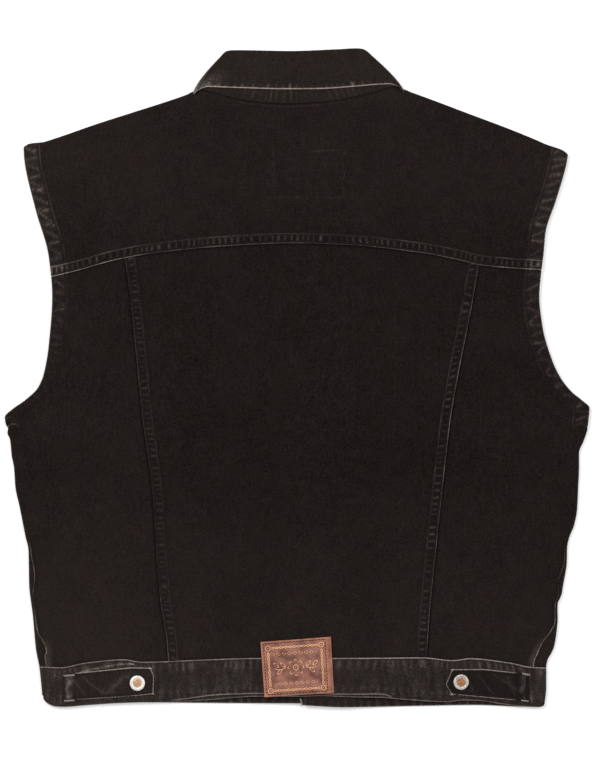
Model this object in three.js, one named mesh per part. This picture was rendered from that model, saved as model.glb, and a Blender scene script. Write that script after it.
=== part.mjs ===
// A denim vest, laid out flat with its back up: the fronts lie on the surface, the back lies on them.
// Millimetres. +X is to the right as the back is looked at, +Y is towards the collar, +Z is up, and z = 0 is the
// surface that the fronts rest on. "Left" and "right" are as the back is looked at.
import * as THREE from "three";

// Cloth and seams
const CLOTH = 1.2; // one layer of denim
const DOUBLE = 2.0; // a hem, a felled seam, a placket or a waistband
const GAP = 0.3; // between two pieces
const CURVED_GAP = 0.6; // the same where two curved edges meet
const SEAM_BAND = 9.5; // width of a felled seam with its two rows of stitches
const HEM_BAND = 15; // width of the armhole hem
const BAND_SLOPE = 1.5; // how far a band's inner side takes to come down
const FOLD_RADIUS = 2; // outside of the fold along a side seam

// How high the layers lie: the back's underside along the sides, and what lifts a layer above where it would lie.
// Each hill has a height, how far its flat top reaches, and where its foot is.
const BACK_LOW = 2.8;
const BUTTON_HILL = { height: 2.1, flat: 20, foot: 80 }; // the front buttons, under the fronts
const LEAF_HILL = { height: 2.4, flat: 18, foot: 56 }; // the collar's front halves, under the fronts
const OVERLAP_HILL = { height: DOUBLE + GAP, flat: 19.5, foot: 43.5 }; // the left front, under the right one
const OPENING_HILL = { height: 4.2, flat: 24, foot: 100 }; // both fronts where they overlap, under the back
const COLLAR_HILL = { height: 1.7, flat: 12, foot: 76 }; // the collar's front halves, under the back
const NECK_DIP = { from: 198, to: 240, share: 0.62 }; // the back comes down here, past the neckline

// The front opening
const LEFT_FRONT_END = 40; // the left front reaches past the middle to here, underneath
const RIGHT_FRONT_END = 5; // the right front's own edge, on top of it
const PLACKET = 35;
const BUTTON_LINE = 22.5;
const FRONT_NECK_Y = 196; // where the neckline meets the opening
const FRONT_INSET = 1.5; // how far the fronts lie inside the back's edge at the armholes
const NECK_POINT = 101; // where the neckline meets the shoulder, to either side
const FRONT_BUTTON = { radius: 8.5, thick: 1.8, highest: 168, pitch: 92, count: 6 };

// The collar: its middle plane, and the half thicknesses of its stand and leaf above that plane
const COLLAR = { middle: 4.2, standIn: 0.3, standOut: 1.9, leafIn: 2.2, leafOut: 4.2 };

// Outline of the garment on each side, from the shoulder's tip to the hem
const LEFT_EDGE = [
  { y: 218, x: -259.4 },
  { y: 205, x: -258.4 },
  { y: 160, x: -248 },
  { y: 115, x: -235.8 },
  { y: 77, x: -231.8 },
  { y: 31, x: -235.6 },
  { y: 4, x: -239.6 },
  { y: -10, x: -246 },
  { y: -22, x: -258.4 },
  { y: -30, x: -269.8 },
  { y: -38, x: -277.4 },
  { y: -45, x: -276.4 },
  { y: -49, x: -273.6 },
  { y: -53, x: -275 },
  { y: -60, x: -271.8 },
  { y: -90, x: -268 },
  { y: -113, x: -266 },
  { y: -150, x: -256.8 },
  { y: -168, x: -254.6 },
  { y: -197, x: -254.4 },
  { y: -227, x: -250.8 },
  { y: -258, x: -248 },
  { y: -276, x: -244.6 },
  { y: -312, x: -241 },
];
const RIGHT_EDGE = [
  { y: 212, x: 256 },
  { y: 204, x: 255.4 },
  { y: 168, x: 245 },
  { y: 138, x: 235.6 },
  { y: 100, x: 231 },
  { y: 77, x: 229 },
  { y: 47, x: 231.8 },
  { y: 16, x: 241.3 },
  { y: 0, x: 249 },
  { y: -14, x: 260.3 },
  { y: -24, x: 271.5 },
  { y: -33, x: 277.4 },
  { y: -45, x: 274.6 },
  { y: -60, x: 271.7 },
  { y: -75, x: 266 },
  { y: -90, x: 267 },
  { y: -106, x: 266 },
  { y: -136, x: 263 },
  { y: -152, x: 257 },
  { y: -189, x: 252.7 },
  { y: -214, x: 247.6 },
  { y: -222, x: 246 },
  { y: -242, x: 246 },
  { y: -256, x: 242.4 },
  { y: -272, x: 235.8 },
  { y: -288, x: 235.4 },
  { y: -312, x: 233 },
];
// How far the front comes round onto the back before it meets the side seam
const LEFT_WRAP = [
  { y: -210, wrap: 2.6 },
  { y: -232, wrap: 4 },
  { y: -245, wrap: 7.5 },
  { y: -259, wrap: 8.5 },
  { y: -276, wrap: 6 },
];
const RIGHT_WRAP = [
  { y: -220, wrap: 2.6 },
  { y: -235, wrap: 4 },
  { y: -243, wrap: 7 },
  { y: -252, wrap: 11 },
  { y: -266, wrap: 13 },
  { y: -276, wrap: 12 },
];
// The back yoke's upper edge: shoulder, neck seam, shoulder
const YOKE_TOP = [
  { x: -262, y: 216.8 },
  { x: -259.4, y: 217.8 },
  { x: -240, y: 225.4 },
  { x: -190, y: 240.4 },
  { x: -142, y: 255.6 },
  { x: -118, y: 263 },
  { x: -97, y: 269.6 },
  { x: -85, y: 270.8 },
  { x: -67, y: 267.2 },
  { x: -45, y: 263 },
  { x: -10, y: 260.2 },
  { x: 34, y: 263 },
  { x: 56, y: 267.2 },
  { x: 78, y: 272 },
  { x: 92, y: 273.4 },
  { x: 102, y: 270.6 },
  { x: 129, y: 262.6 },
  { x: 188, y: 240.4 },
  { x: 245, y: 217.2 },
  { x: 256, y: 212 },
  { x: 260, y: 210 },
];
// The yoke's lower edge, which lies over the three back panels
const YOKE_SEAM = [
  { x: -236, y: 94.4 },
  { x: -209, y: 101 },
  { x: -173, y: 111 },
  { x: -137, y: 117.5 },
  { x: -64, y: 124.6 },
  { x: -6, y: 127 },
  { x: 45, y: 125.5 },
  { x: 118, y: 118 },
  { x: 154, y: 111 },
  { x: 172, y: 106.6 },
  { x: 201, y: 103.6 },
  { x: 236, y: 101.4 },
];
// The long seams between the middle panel and the side panels
const LEFT_SEAM = [
  { y: 115, x: -164.2 },
  { y: 87, x: -160 },
  { y: 35, x: -154.4 },
  { y: -34, x: -147.6 },
  { y: -116, x: -137 },
  { y: -174, x: -133.4 },
  { y: -219, x: -129.2 },
  { y: -250, x: -124 },
  { y: -272, x: -122.4 },
];
const RIGHT_SEAM = [
  { y: 115, x: 174 },
  { y: 65, x: 165.5 },
  { y: 5, x: 153.6 },
  { y: -40, x: 145.8 },
  { y: -98, x: 139 },
  { y: -164, x: 132 },
  { y: -227, x: 125.8 },
  { y: -272, x: 122.8 },
];
// The waistband: its upper and lower edge on the back, and on the fronts
const WAIST_TOP = [
  { x: -246, y: -274.6 },
  { x: -225, y: -275.4 },
  { x: -202, y: -271.2 },
  { x: -165, y: -267.8 },
  { x: -147, y: -270.2 },
  { x: -92, y: -268.2 },
  { x: -35, y: -266.4 },
  { x: 79, y: -266.2 },
  { x: 119, y: -266 },
  { x: 148, y: -268.6 },
  { x: 164, y: -266.8 },
  { x: 202, y: -271 },
  { x: 222, y: -275 },
  { x: 240, y: -276 },
];
const WAIST_LOW = [
  { x: -244, y: -308 },
  { x: -226, y: -312.4 },
  { x: -190, y: -310.4 },
  { x: -143, y: -308.4 },
  { x: -118, y: -306 },
  { x: -90, y: -303.4 },
  { x: -33, y: -302.6 },
  { x: 30, y: -302.6 },
  { x: 79, y: -303.4 },
  { x: 98, y: -305.6 },
  { x: 142, y: -308.4 },
  { x: 166, y: -306.6 },
  { x: 196, y: -310.6 },
  { x: 218, y: -312.2 },
  { x: 236, y: -311 },
];
const FRONT_WAIST_TOP = [
  { x: -250, y: -274.2 },
  { x: -120, y: -273 },
  { x: 0, y: -272 },
  { x: 120, y: -273.4 },
  { x: 244, y: -274.9 },
];
const LEFT_FRONT_LOW = [
  { x: -244, y: -308 },
  { x: -226, y: -312.6 },
  { x: -150, y: -309 },
  { x: -20, y: -309 },
  { x: 45, y: -309.6 },
];
const RIGHT_FRONT_LOW = [
  { x: 0, y: -311 },
  { x: 48, y: -312.6 },
  { x: 120, y: -311.6 },
  { x: 220, y: -312.6 },
  { x: 236, y: -311 },
];
// The fronts' upper edge: shoulder, then neckline. The right one is the same, mirrored, with its own shoulder.
const FRONT_NECKLINE = [
  { x: NECK_POINT, y: 268 },
  { x: 96, y: 262 },
  { x: 84, y: 241 },
  { x: 64, y: 219 },
  { x: 36, y: 202 },
  { x: 0, y: FRONT_NECK_Y },
  { x: -45, y: FRONT_NECK_Y },
];
const LEFT_SHOULDER = [
  { x: 262, y: 216 },
  { x: 240, y: 224.6 },
  { x: 190, y: 239.6 },
  { x: 142, y: 254.8 },
  { x: 118, y: 262 },
];
const RIGHT_SHOULDER = [
  { x: 260, y: 209.4 },
  { x: 245, y: 216.4 },
  { x: 188, y: 239.6 },
  { x: 129, y: 261.6 },
];
// The collar's edges on the back: the roll along its top, and the leaf's free edge
const ROLL = [
  { x: -72, y: 307 },
  { x: -62, y: 309 },
  { x: -7, y: 308.2 },
  { x: 41, y: 310 },
  { x: 56, y: 310.6 },
  { x: 72, y: 308.4 },
];
const LEAF_EDGE = [
  { x: -98, y: 272 },
  { x: -85, y: 275.4 },
  { x: -67, y: 274.8 },
  { x: -10, y: 273.2 },
  { x: 20, y: 273.4 },
  { x: 49, y: 275.2 },
  { x: 78, y: 277.6 },
  { x: 90, y: 278 },
  { x: 104, y: 273.2 },
];
// The collar's corners. Roll, leaf and neck are where its sections run on the side, the rest is at the front end.
const COLLAR_SIDE = {
  left: { roll: [-66, 308.2], leaf: [-95.6, 273.4], neck: [-92, 273.2] },
  right: { roll: [65, 309.2], leaf: [98.6, 275.2], neck: [93, 275.2] },
};
const COLLAR_END = { roll: [3, 203], leaf: [58, 150], neck: [3, 197] };
const COLLAR_MID = { roll: [50, 240], leaf: [84, 210], neck: [58, 216] };

// Where the outline of the collar's front halves reaches the shoulders, to either side
const COLLAR_SHOULDER = [100, 271];

// How the yoke's edge rolls over at the shoulders: how far its outer and inner skin lie inside the outline, and how
// far they have dropped. Flat is how far inside it they both lie at the neck, where it doesn't roll.
const SHOULDER_ROLL = [
  { outer: 3.2, outerDrop: 0, inner: 3.2, innerDrop: 0, flat: 1.2 },
  { outer: 0.6, outerDrop: 0.6, inner: 1.5, innerDrop: 0, flat: 0.8 },
  { outer: 0, outerDrop: 1.9, inner: CLOTH, innerDrop: 0.7, flat: 0.4 },
  { outer: 0, outerDrop: 9, inner: CLOTH, innerDrop: 9, flat: 0 },
];

// The leather patch, the tabs and their buttons
const PATCH = {
  thick: 1.6,
  lowLeft: [-31, -303.5],
  lowRight: [35, -299.2],
  highLeft: [-34.9, -251.2],
  highRight: [32, -246.1],
};
const TAB_THICK = 1.8;
const LEFT_TAB = {
  rootLow: [-222, -307],
  rootHigh: [-222, -281.8],
  middleLow: [-158, -303],
  middleHigh: [-158, -275.4],
  endLow: [-136.4, -300.8],
  endHigh: [-139, -275.8],
  tip: [-135.8, -284],
};
const RIGHT_TAB = {
  rootLow: [219.6, -307.8],
  rootHigh: [219.6, -281.6],
  middleLow: [178, -304],
  middleHigh: [178, -277],
  endLow: [146.6, -301],
  endHigh: [147, -277.2],
  tip: [141, -291.6],
};
const TAB_BUTTONS = { left: [-151.6, -290.2], right: [155.6, -289.2] };
const TAB_BUTTON = { radius: 7.5, rim: 6.5, well: 4.6, foot: 6.6, rimHigh: 2.6, wellHigh: 1.7, edgeHigh: 1.2 };

const DENIM = { color: 0x2b2624, roughness: 0.92, metalness: 0 };
const LEATHER = { color: 0x6f4436, roughness: 0.55, metalness: 0 };
const METAL = { color: 0xb9aca0, roughness: 0.35, metalness: 1 };
const COPPER = { color: 0x9a6a50, roughness: 0.4, metalness: 1 };

const lerp = (a, b, t) => a + (b - a) * t;
const between = (p, q, t) => p.map((value, k) => lerp(value, q[k], t));
const steps = (from, to, count) => Array.from({ length: count + 1 }, (_, i) => lerp(from, to, i / count));

// 0 below from, 1 above to, smooth between
function ease(from, to, value) {
  const t = Math.min(Math.max((value - from) / (to - from), 0), 1);
  return t * t * (3 - 2 * t);
}

// One column of a table as a smooth function of another. It never overshoots the rows.
function curve(table, key, value) {
  const rows = [...table].sort((a, b) => a[key] - b[key]);
  const rise = rows.slice(1).map((r, i) => (r[value] - rows[i][value]) / (r[key] - rows[i][key]));
  const slope = rows.map((_, i) => {
    const before = rise[Math.max(i - 1, 0)];
    const after = rise[Math.min(i, rise.length - 1)];
    return before * after <= 0 ? 0 : (2 * before * after) / (before + after);
  });
  return (at) => {
    const t = Math.min(Math.max(at, rows[0][key]), rows.at(-1)[key]);
    const i = Math.max(rows.findIndex((r) => r[key] >= t) - 1, 0);
    const width = rows[i + 1][key] - rows[i][key];
    const s = (t - rows[i][key]) / width;
    const rest = 1 - s;
    return (
      rows[i][value] * rest * rest * (1 + 2 * s) +
      rows[i + 1][value] * s * s * (3 - 2 * s) +
      width * s * rest * (slope[i] * rest - slope[i + 1] * s)
    );
  };
}

// The same table for the other side
const mirrored = (table) => table.map(({ x, y }) => ({ x: -x, y }));

const leftEdge = curve(LEFT_EDGE, "y", "x");
const rightEdge = curve(RIGHT_EDGE, "y", "x");
const leftWrap = curve(LEFT_WRAP, "y", "wrap");
const rightWrap = curve(RIGHT_WRAP, "y", "wrap");
const yokeTop = curve(YOKE_TOP, "x", "y");
const yokeSeam = curve(YOKE_SEAM, "x", "y");
const leftSeam = curve(LEFT_SEAM, "y", "x");
const rightSeam = curve(RIGHT_SEAM, "y", "x");
const waistTop = curve(WAIST_TOP, "x", "y");
const waistLow = curve(WAIST_LOW, "x", "y");
const frontWaistTop = curve(FRONT_WAIST_TOP, "x", "y");
const leftFrontLow = curve(LEFT_FRONT_LOW, "x", "y");
const rightFrontLow = curve(RIGHT_FRONT_LOW, "x", "y");
const leftFrontTop = curve([...mirrored(LEFT_SHOULDER), ...mirrored(FRONT_NECKLINE)], "x", "y");
const rightFrontTop = curve([...RIGHT_SHOULDER, ...FRONT_NECKLINE], "x", "y");
const roll = curve(ROLL, "x", "y");
const leafEdge = curve(LEAF_EDGE, "x", "y");

// How far a place lies outside the outline of the collar's two front halves
function outsideCollar(x, y) {
  const [tipX, tipY] = COLLAR_END.leaf;
  const [shoulderX, shoulderY] = COLLAR_SHOULDER;
  const side = lerp(tipX, shoulderX, (y - tipY) / (shoulderY - tipY));
  return Math.max(Math.abs(x) - side, tipY - y);
}

const hill = ({ height, flat, foot }, distance) => height * (1 - ease(flat, foot, distance));

// Outer side of the fronts, which is their lower one
const frontLow = (x, y) =>
  Math.max(hill(BUTTON_HILL, Math.abs(x - BUTTON_LINE)), hill(LEAF_HILL, outsideCollar(x, y)));
// The same for the right front, which climbs onto the left one
const rightFrontLowSide = (x, y) => frontLow(x, y) + hill(OVERLAP_HILL, x - BUTTON_LINE);

// Underside of the back
function backLow(x, y) {
  const dip = 1 - NECK_DIP.share * ease(NECK_DIP.from, NECK_DIP.to, y);
  const opening = hill(OPENING_HILL, Math.abs(x - BUTTON_LINE)) * dip;
  return BACK_LOW + Math.max(opening, hill(COLLAR_HILL, outsideCollar(x, y)));
}

// A four-sided piece in plan: u runs from its left edge to its right one, v from its lower edge to its upper one.
function plan({ left, right, lower, upper }) {
  const corner = (side, edge) => {
    let y = edge(side(0));
    for (let i = 0; i < 30; i += 1) y = edge(side(y));
    return [side(y), y];
  };
  const [lowLeft, lowRight] = [corner(left, lower), corner(right, lower)];
  const [highLeft, highRight] = [corner(left, upper), corner(right, upper)];
  const at = (u, v) => {
    const lowX = lerp(lowLeft[0], lowRight[0], u);
    const highX = lerp(highLeft[0], highRight[0], u);
    const leftY = lerp(lowLeft[1], highLeft[1], v);
    const rightY = lerp(lowRight[1], highRight[1], v);
    const across = between([left(leftY), leftY], [right(rightY), rightY], u);
    const along = between([lowX, lower(lowX)], [highX, upper(highX)], v);
    const flat = between(between(lowLeft, lowRight, u), between(highLeft, highRight, u), v);
    return [across[0] + along[0] - flat[0], across[1] + along[1] - flat[1]];
  };
  const share = (y) => (y - lowLeft[1]) / (highLeft[1] - lowLeft[1]);
  const rightShare = (y) => (y - lowRight[1]) / (highRight[1] - lowRight[1]);
  const length = (a, b) => Math.hypot(a[0] - b[0], a[1] - b[1]);
  return {
    at,
    share,
    rightShare,
    width: (v) => length(at(0, v), at(1, v)),
    height: (u) => length(at(u, 0), at(u, 1)),
  };
}

// Grid lines across a piece of some width. A band of the given width at either end is raised, with a short slope.
function lines(width, { first = 0, last = 0, pieces }) {
  const from = first ? first + BAND_SLOPE : 0;
  const to = last ? width - last - BAND_SLOPE : width;
  const raised = (d) => ({ t: d / width, raised: 1 });
  const plain = (d) => ({ t: d / width, raised: 0 });
  return [
    ...(first ? [raised(0), raised(first)] : []),
    ...steps(from, to, pieces).map(plain),
    ...(last ? [raised(width - last), raised(width)] : []),
  ];
}

// A closed solid between two sheets of points that have the same rows and columns
function wall(name, sheetOut, sheetIn, finish = DENIM) {
  const rows = sheetOut.length;
  const cols = sheetOut[0].length;
  const points = [...sheetOut.flat(), ...sheetIn.flat()];
  const faces = [];
  const quad = (a, b, c, d) => faces.push(a, b, c, a, c, d);
  const index = (side, i, j) => side * rows * cols + i * cols + j;
  for (let i = 0; i < rows - 1; i += 1) {
    for (let j = 0; j < cols - 1; j += 1) {
      quad(index(0, i, j), index(0, i, j + 1), index(0, i + 1, j + 1), index(0, i + 1, j));
      quad(index(1, i, j), index(1, i + 1, j), index(1, i + 1, j + 1), index(1, i, j + 1));
    }
  }
  const rim = [
    ...Array.from({ length: cols - 1 }, (_, j) => [0, j]),
    ...Array.from({ length: rows - 1 }, (_, i) => [i, cols - 1]),
    ...Array.from({ length: cols - 1 }, (_, j) => [rows - 1, cols - 1 - j]),
    ...Array.from({ length: rows - 1 }, (_, i) => [rows - 1 - i, 0]),
  ];
  rim.forEach(([i, j], k) => {
    const [m, n] = rim[(k + 1) % rim.length];
    quad(index(0, m, n), index(0, i, j), index(1, i, j), index(1, m, n));
  });
  return solid(name, points, faces, finish);
}

// A mesh from points and triangles, turned so that its faces point outwards
function solid(name, points, faces, finish) {
  const corner = (k) => new THREE.Vector3(...points[faces[k]]);
  let volume = 0;
  for (let k = 0; k < faces.length; k += 3) {
    volume += corner(k).dot(corner(k + 1).cross(corner(k + 2)));
  }
  const turned = volume < 0 ? [...faces].reverse() : faces;
  const geometry = new THREE.BufferGeometry();
  geometry.setAttribute("position", new THREE.Float32BufferAttribute(points.flat(), 3));
  geometry.setIndex(turned);
  geometry.computeVertexNormals();
  return named(name, geometry, finish);
}

function named(name, geometry, finish) {
  const mesh = new THREE.Mesh(geometry, new THREE.MeshStandardMaterial(finish));
  mesh.name = name;
  return mesh;
}

// A flat piece of the back. Its underside is the back's, and its bands are raised above it.
function backPiece(piece, across, along) {
  const nominal = { u: lines(piece.width(0.5), across), v: lines(piece.height(0.5), along) };
  return nominal.v.map((row, i) =>
    nominal.u.map((column, j) => {
      const u = lines(piece.width(row.t), across)[j];
      const v = lines(piece.height(column.t), along)[i];
      const [x, y] = piece.at(u.t, v.t);
      return { x, y, thick: lerp(CLOTH, DOUBLE, Math.max(u.raised, v.raised)) };
    }),
  );
}

const topOf = (grid) => grid.map((row) => row.map(({ x, y, thick }) => [x, y, backLow(x, y) + thick]));
const undersideOf = (grid) => grid.map((row) => row.map(({ x, y }) => [x, y, backLow(x, y)]));

// The back yoke. Its shoulders roll over to meet the fronts, and its neck edge stays flat against the collar.
function backYoke() {
  const piece = plan({
    left: leftEdge,
    right: rightEdge,
    lower: yokeSeam,
    upper: (x) => yokeTop(x) - GAP,
  });
  const grid = backPiece(
    piece,
    { first: HEM_BAND, last: HEM_BAND, pieces: 22 },
    { first: SEAM_BAND, pieces: 6 },
  );
  const out = topOf(grid);
  const inside = undersideOf(grid);
  // Full along the shoulders and none along the neck
  const isShoulder = (x) => ease(97, 104, Math.abs(x));
  const rolled = ([x, y, z], inset, drop, flat) => {
    const share = isShoulder(x);
    const onFront = frontLow(x, y) + CLOTH + CURVED_GAP;
    return [x, y - lerp(flat, inset, share), lerp(z, Math.max(z - drop, onFront), share)];
  };
  const lastOut = out.pop();
  const lastIn = inside.pop();
  SHOULDER_ROLL.forEach(({ outer, outerDrop, inner, innerDrop, flat }) => {
    out.push(lastOut.map((point) => rolled(point, outer, outerDrop, flat)));
    inside.push(lastIn.map((point) => rolled(point, inner, innerDrop, flat)));
  });
  return wall("back_yoke", out, inside);
}

// The middle panel of the back, which lies over the side panels
function backMiddle() {
  const grid = backPiece(
    plan({
      left: leftSeam,
      right: rightSeam,
      lower: (x) => waistTop(x) + CURVED_GAP,
      upper: (x) => yokeSeam(x) - GAP,
    }),
    { first: SEAM_BAND, last: SEAM_BAND, pieces: 14 },
    { pieces: 18 },
  );
  return wall("back_panel_middle", topOf(grid), undersideOf(grid));
}

// Where the armhole ends and the fold of the side seam begins. The side panel's outer edge runs along the armhole,
// then just inside the fold.
const ARMPIT = { above: -47, below: -54, fold: -64 };
const foldInset = (wrap, y) => (wrap(y) + GAP) * (1 - ease(ARMPIT.below, ARMPIT.above, y));

// Rows of a piece that has an armhole and a side seam, as places along that side
const SIDE_ROWS = [
  ...steps(-262, -222, 4),
  ...steps(-200, -80, 4),
  ...steps(-62, -34, 7),
  ...steps(-26, -2, 3),
  ...steps(24, 76, 2),
];

function backSide(name, side) {
  const isLeft = side === "left";
  const edge = isLeft ? leftEdge : rightEdge;
  const wrap = isLeft ? leftWrap : rightWrap;
  const inward = isLeft ? 1 : -1;
  const outer = (y) => edge(y) + inward * foldInset(wrap, y);
  const seam = isLeft ? (y) => leftSeam(y) - GAP : (y) => rightSeam(y) + GAP;
  const piece = plan({
    left: isLeft ? outer : seam,
    right: isLeft ? seam : outer,
    lower: (x) => waistTop(x) + CURVED_GAP,
    upper: (x) => yokeSeam(x) - GAP,
  });
  const share = isLeft ? piece.share : piece.rightShare;
  const across = isLeft ? { first: HEM_BAND, pieces: 5 } : { last: HEM_BAND, pieces: 5 };
  const grid = [0, ...SIDE_ROWS.map(share), 1].map((v) =>
    lines(piece.width(v), across).map(({ t, raised }) => {
      const [x, y] = piece.at(t, v);
      const isHem = ease(ARMPIT.below, ARMPIT.above, y) * raised;
      return { x, y, thick: lerp(CLOTH, DOUBLE, isHem) };
    }),
  );
  return wall(name, topOf(grid), undersideOf(grid));
}

// A front: flat on the surface, with its side turned up and round onto the back below the armhole
function front(name, side) {
  const isLeft = side === "left";
  const outward = isLeft ? -1 : 1;
  const edge = isLeft ? leftEdge : rightEdge;
  const wrap = isLeft ? leftWrap : rightWrap;
  const low = isLeft ? frontLow : rightFrontLowSide;
  const end = isLeft ? LEFT_FRONT_END : RIGHT_FRONT_END;
  const foldShare = (y) => 1 - ease(ARMPIT.fold, ARMPIT.below, y);
  const turnLength = Math.PI * FOLD_RADIUS;
  // How far along the turned-up side a column lies
  const columns = [0.25, 0.5, 0.75, 1].map((t) => t * turnLength);
  const alongFold = (y) => [...columns, turnLength + (wrap(y) - FOLD_RADIUS)];
  // Where a column lies, out from the start of the turn and up, with the angle turned by there
  const turned = (distance, share) => {
    if (share < 0.01) return { out: distance, up: 0, angle: 0 };
    const radius = FOLD_RADIUS / share;
    const angle = (Math.min(distance, turnLength) / FOLD_RADIUS) * share;
    const rest = Math.max(distance - turnLength, 0);
    return {
      out: radius * Math.sin(angle) + rest * Math.cos(angle),
      up: radius * (1 - Math.cos(angle)) + rest * Math.sin(angle),
      angle,
    };
  };
  const reach = (y) => Math.max(...alongFold(y).map((d) => turned(d, foldShare(y)).out));
  const start = (y) => edge(y) - outward * (reach(y) + FRONT_INSET * (1 - foldShare(y)));
  const centre = () => end;
  const piece = plan({
    left: isLeft ? start : centre,
    right: isLeft ? centre : start,
    lower: (x) => frontWaistTop(x) + GAP,
    upper: (x) => (isLeft ? leftFrontTop(x) : rightFrontTop(x)) - GAP,
  });
  const share = isLeft ? piece.share : piece.rightShare;
  const neck = Math.abs(outward * NECK_POINT - end) / piece.width(1);
  const columnsAt = (width) => [
    { t: 0, raised: 1 },
    { t: PLACKET / width, raised: 1 },
    ...steps((PLACKET + BAND_SLOPE) / width, neck, 4).map((t) => ({ t, raised: 0 })),
    ...steps(neck, 1, 5).slice(1).map((t) => ({ t, raised: 0 })),
  ];
  const out = [];
  const inside = [];
  [0, ...SIDE_ROWS.map(share), ...steps(0.72, 1, 4)].forEach((v) => {
    const flat = columnsAt(piece.width(v)).map(({ t, raised }) => {
      const [x, y] = piece.at(isLeft ? 1 - t : t, v);
      return { x, y, thick: lerp(CLOTH, DOUBLE, raised) };
    });
    const { x: startX, y } = flat.at(-1);
    const fold = alongFold(y).map((d) => turned(d, foldShare(y)));
    out.push([
      ...flat.map((p) => [p.x, p.y, low(p.x, p.y)]),
      ...fold.map((f) => [startX + outward * f.out, y, low(startX, y) + f.up]),
    ]);
    inside.push([
      ...flat.map((p) => [p.x, p.y, low(p.x, p.y) + p.thick]),
      ...fold.map((f) => [
        startX + outward * (f.out - CLOTH * Math.sin(f.angle)),
        y,
        low(startX, y) + f.up + CLOTH * Math.cos(f.angle),
      ]),
    ]);
  });
  return wall(name, out, inside);
}

// The waistband: one strip from the left front's end, round the left side, across the back and round to the right front
function waistband() {
  const out = [];
  const inside = [];
  const across = [0, 0.5, 1];
  const flat = (x, lowY, highY, zOut, zIn) => {
    out.push(across.map((v) => [x, lerp(lowY, highY, v), zOut(x, lerp(lowY, highY, v))]));
    inside.push(across.map((v) => [x, lerp(lowY, highY, v), zIn(x, lerp(lowY, highY, v))]));
  };
  const upper = (x, y) => backLow(x, y) + DOUBLE;
  const radius = (BACK_LOW + DOUBLE) / 2;
  const fold = (edge, low, high, outward, angles) =>
    angles.forEach((degrees) => {
      const angle = THREE.MathUtils.degToRad(degrees);
      const ring = (r) =>
        across.map((v) => {
          const y = lerp(low, high, v);
          const centreX = edge(y) - outward * radius;
          return [centreX + outward * r * Math.sin(angle), y, radius - r * Math.cos(angle)];
        });
      out.push(ring(radius));
      inside.push(ring(radius - DOUBLE));
    });
  const turns = [30, 60, 90, 120, 150];
  const leftX = leftEdge(-290) + radius;
  const rightX = rightEdge(-290) - radius;
  steps(LEFT_FRONT_END, leftX, 10).forEach((x) =>
    flat(x, leftFrontLow(x), frontWaistTop(x), frontLow, (a, b) => frontLow(a, b) + DOUBLE),
  );
  fold(leftEdge, waistLow(leftX), waistTop(leftX), -1, turns);
  steps(leftX, rightX, 26).forEach((x) => flat(x, waistLow(x), waistTop(x), upper, backLow));
  fold(rightEdge, waistLow(rightX), waistTop(rightX), 1, [...turns].reverse());
  steps(rightX, RIGHT_FRONT_END, 10).forEach((x) =>
    flat(x, rightFrontLow(x), frontWaistTop(x), rightFrontLowSide, (a, b) => rightFrontLowSide(a, b) + DOUBLE),
  );
  return wall("waistband", out, inside);
}

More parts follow.
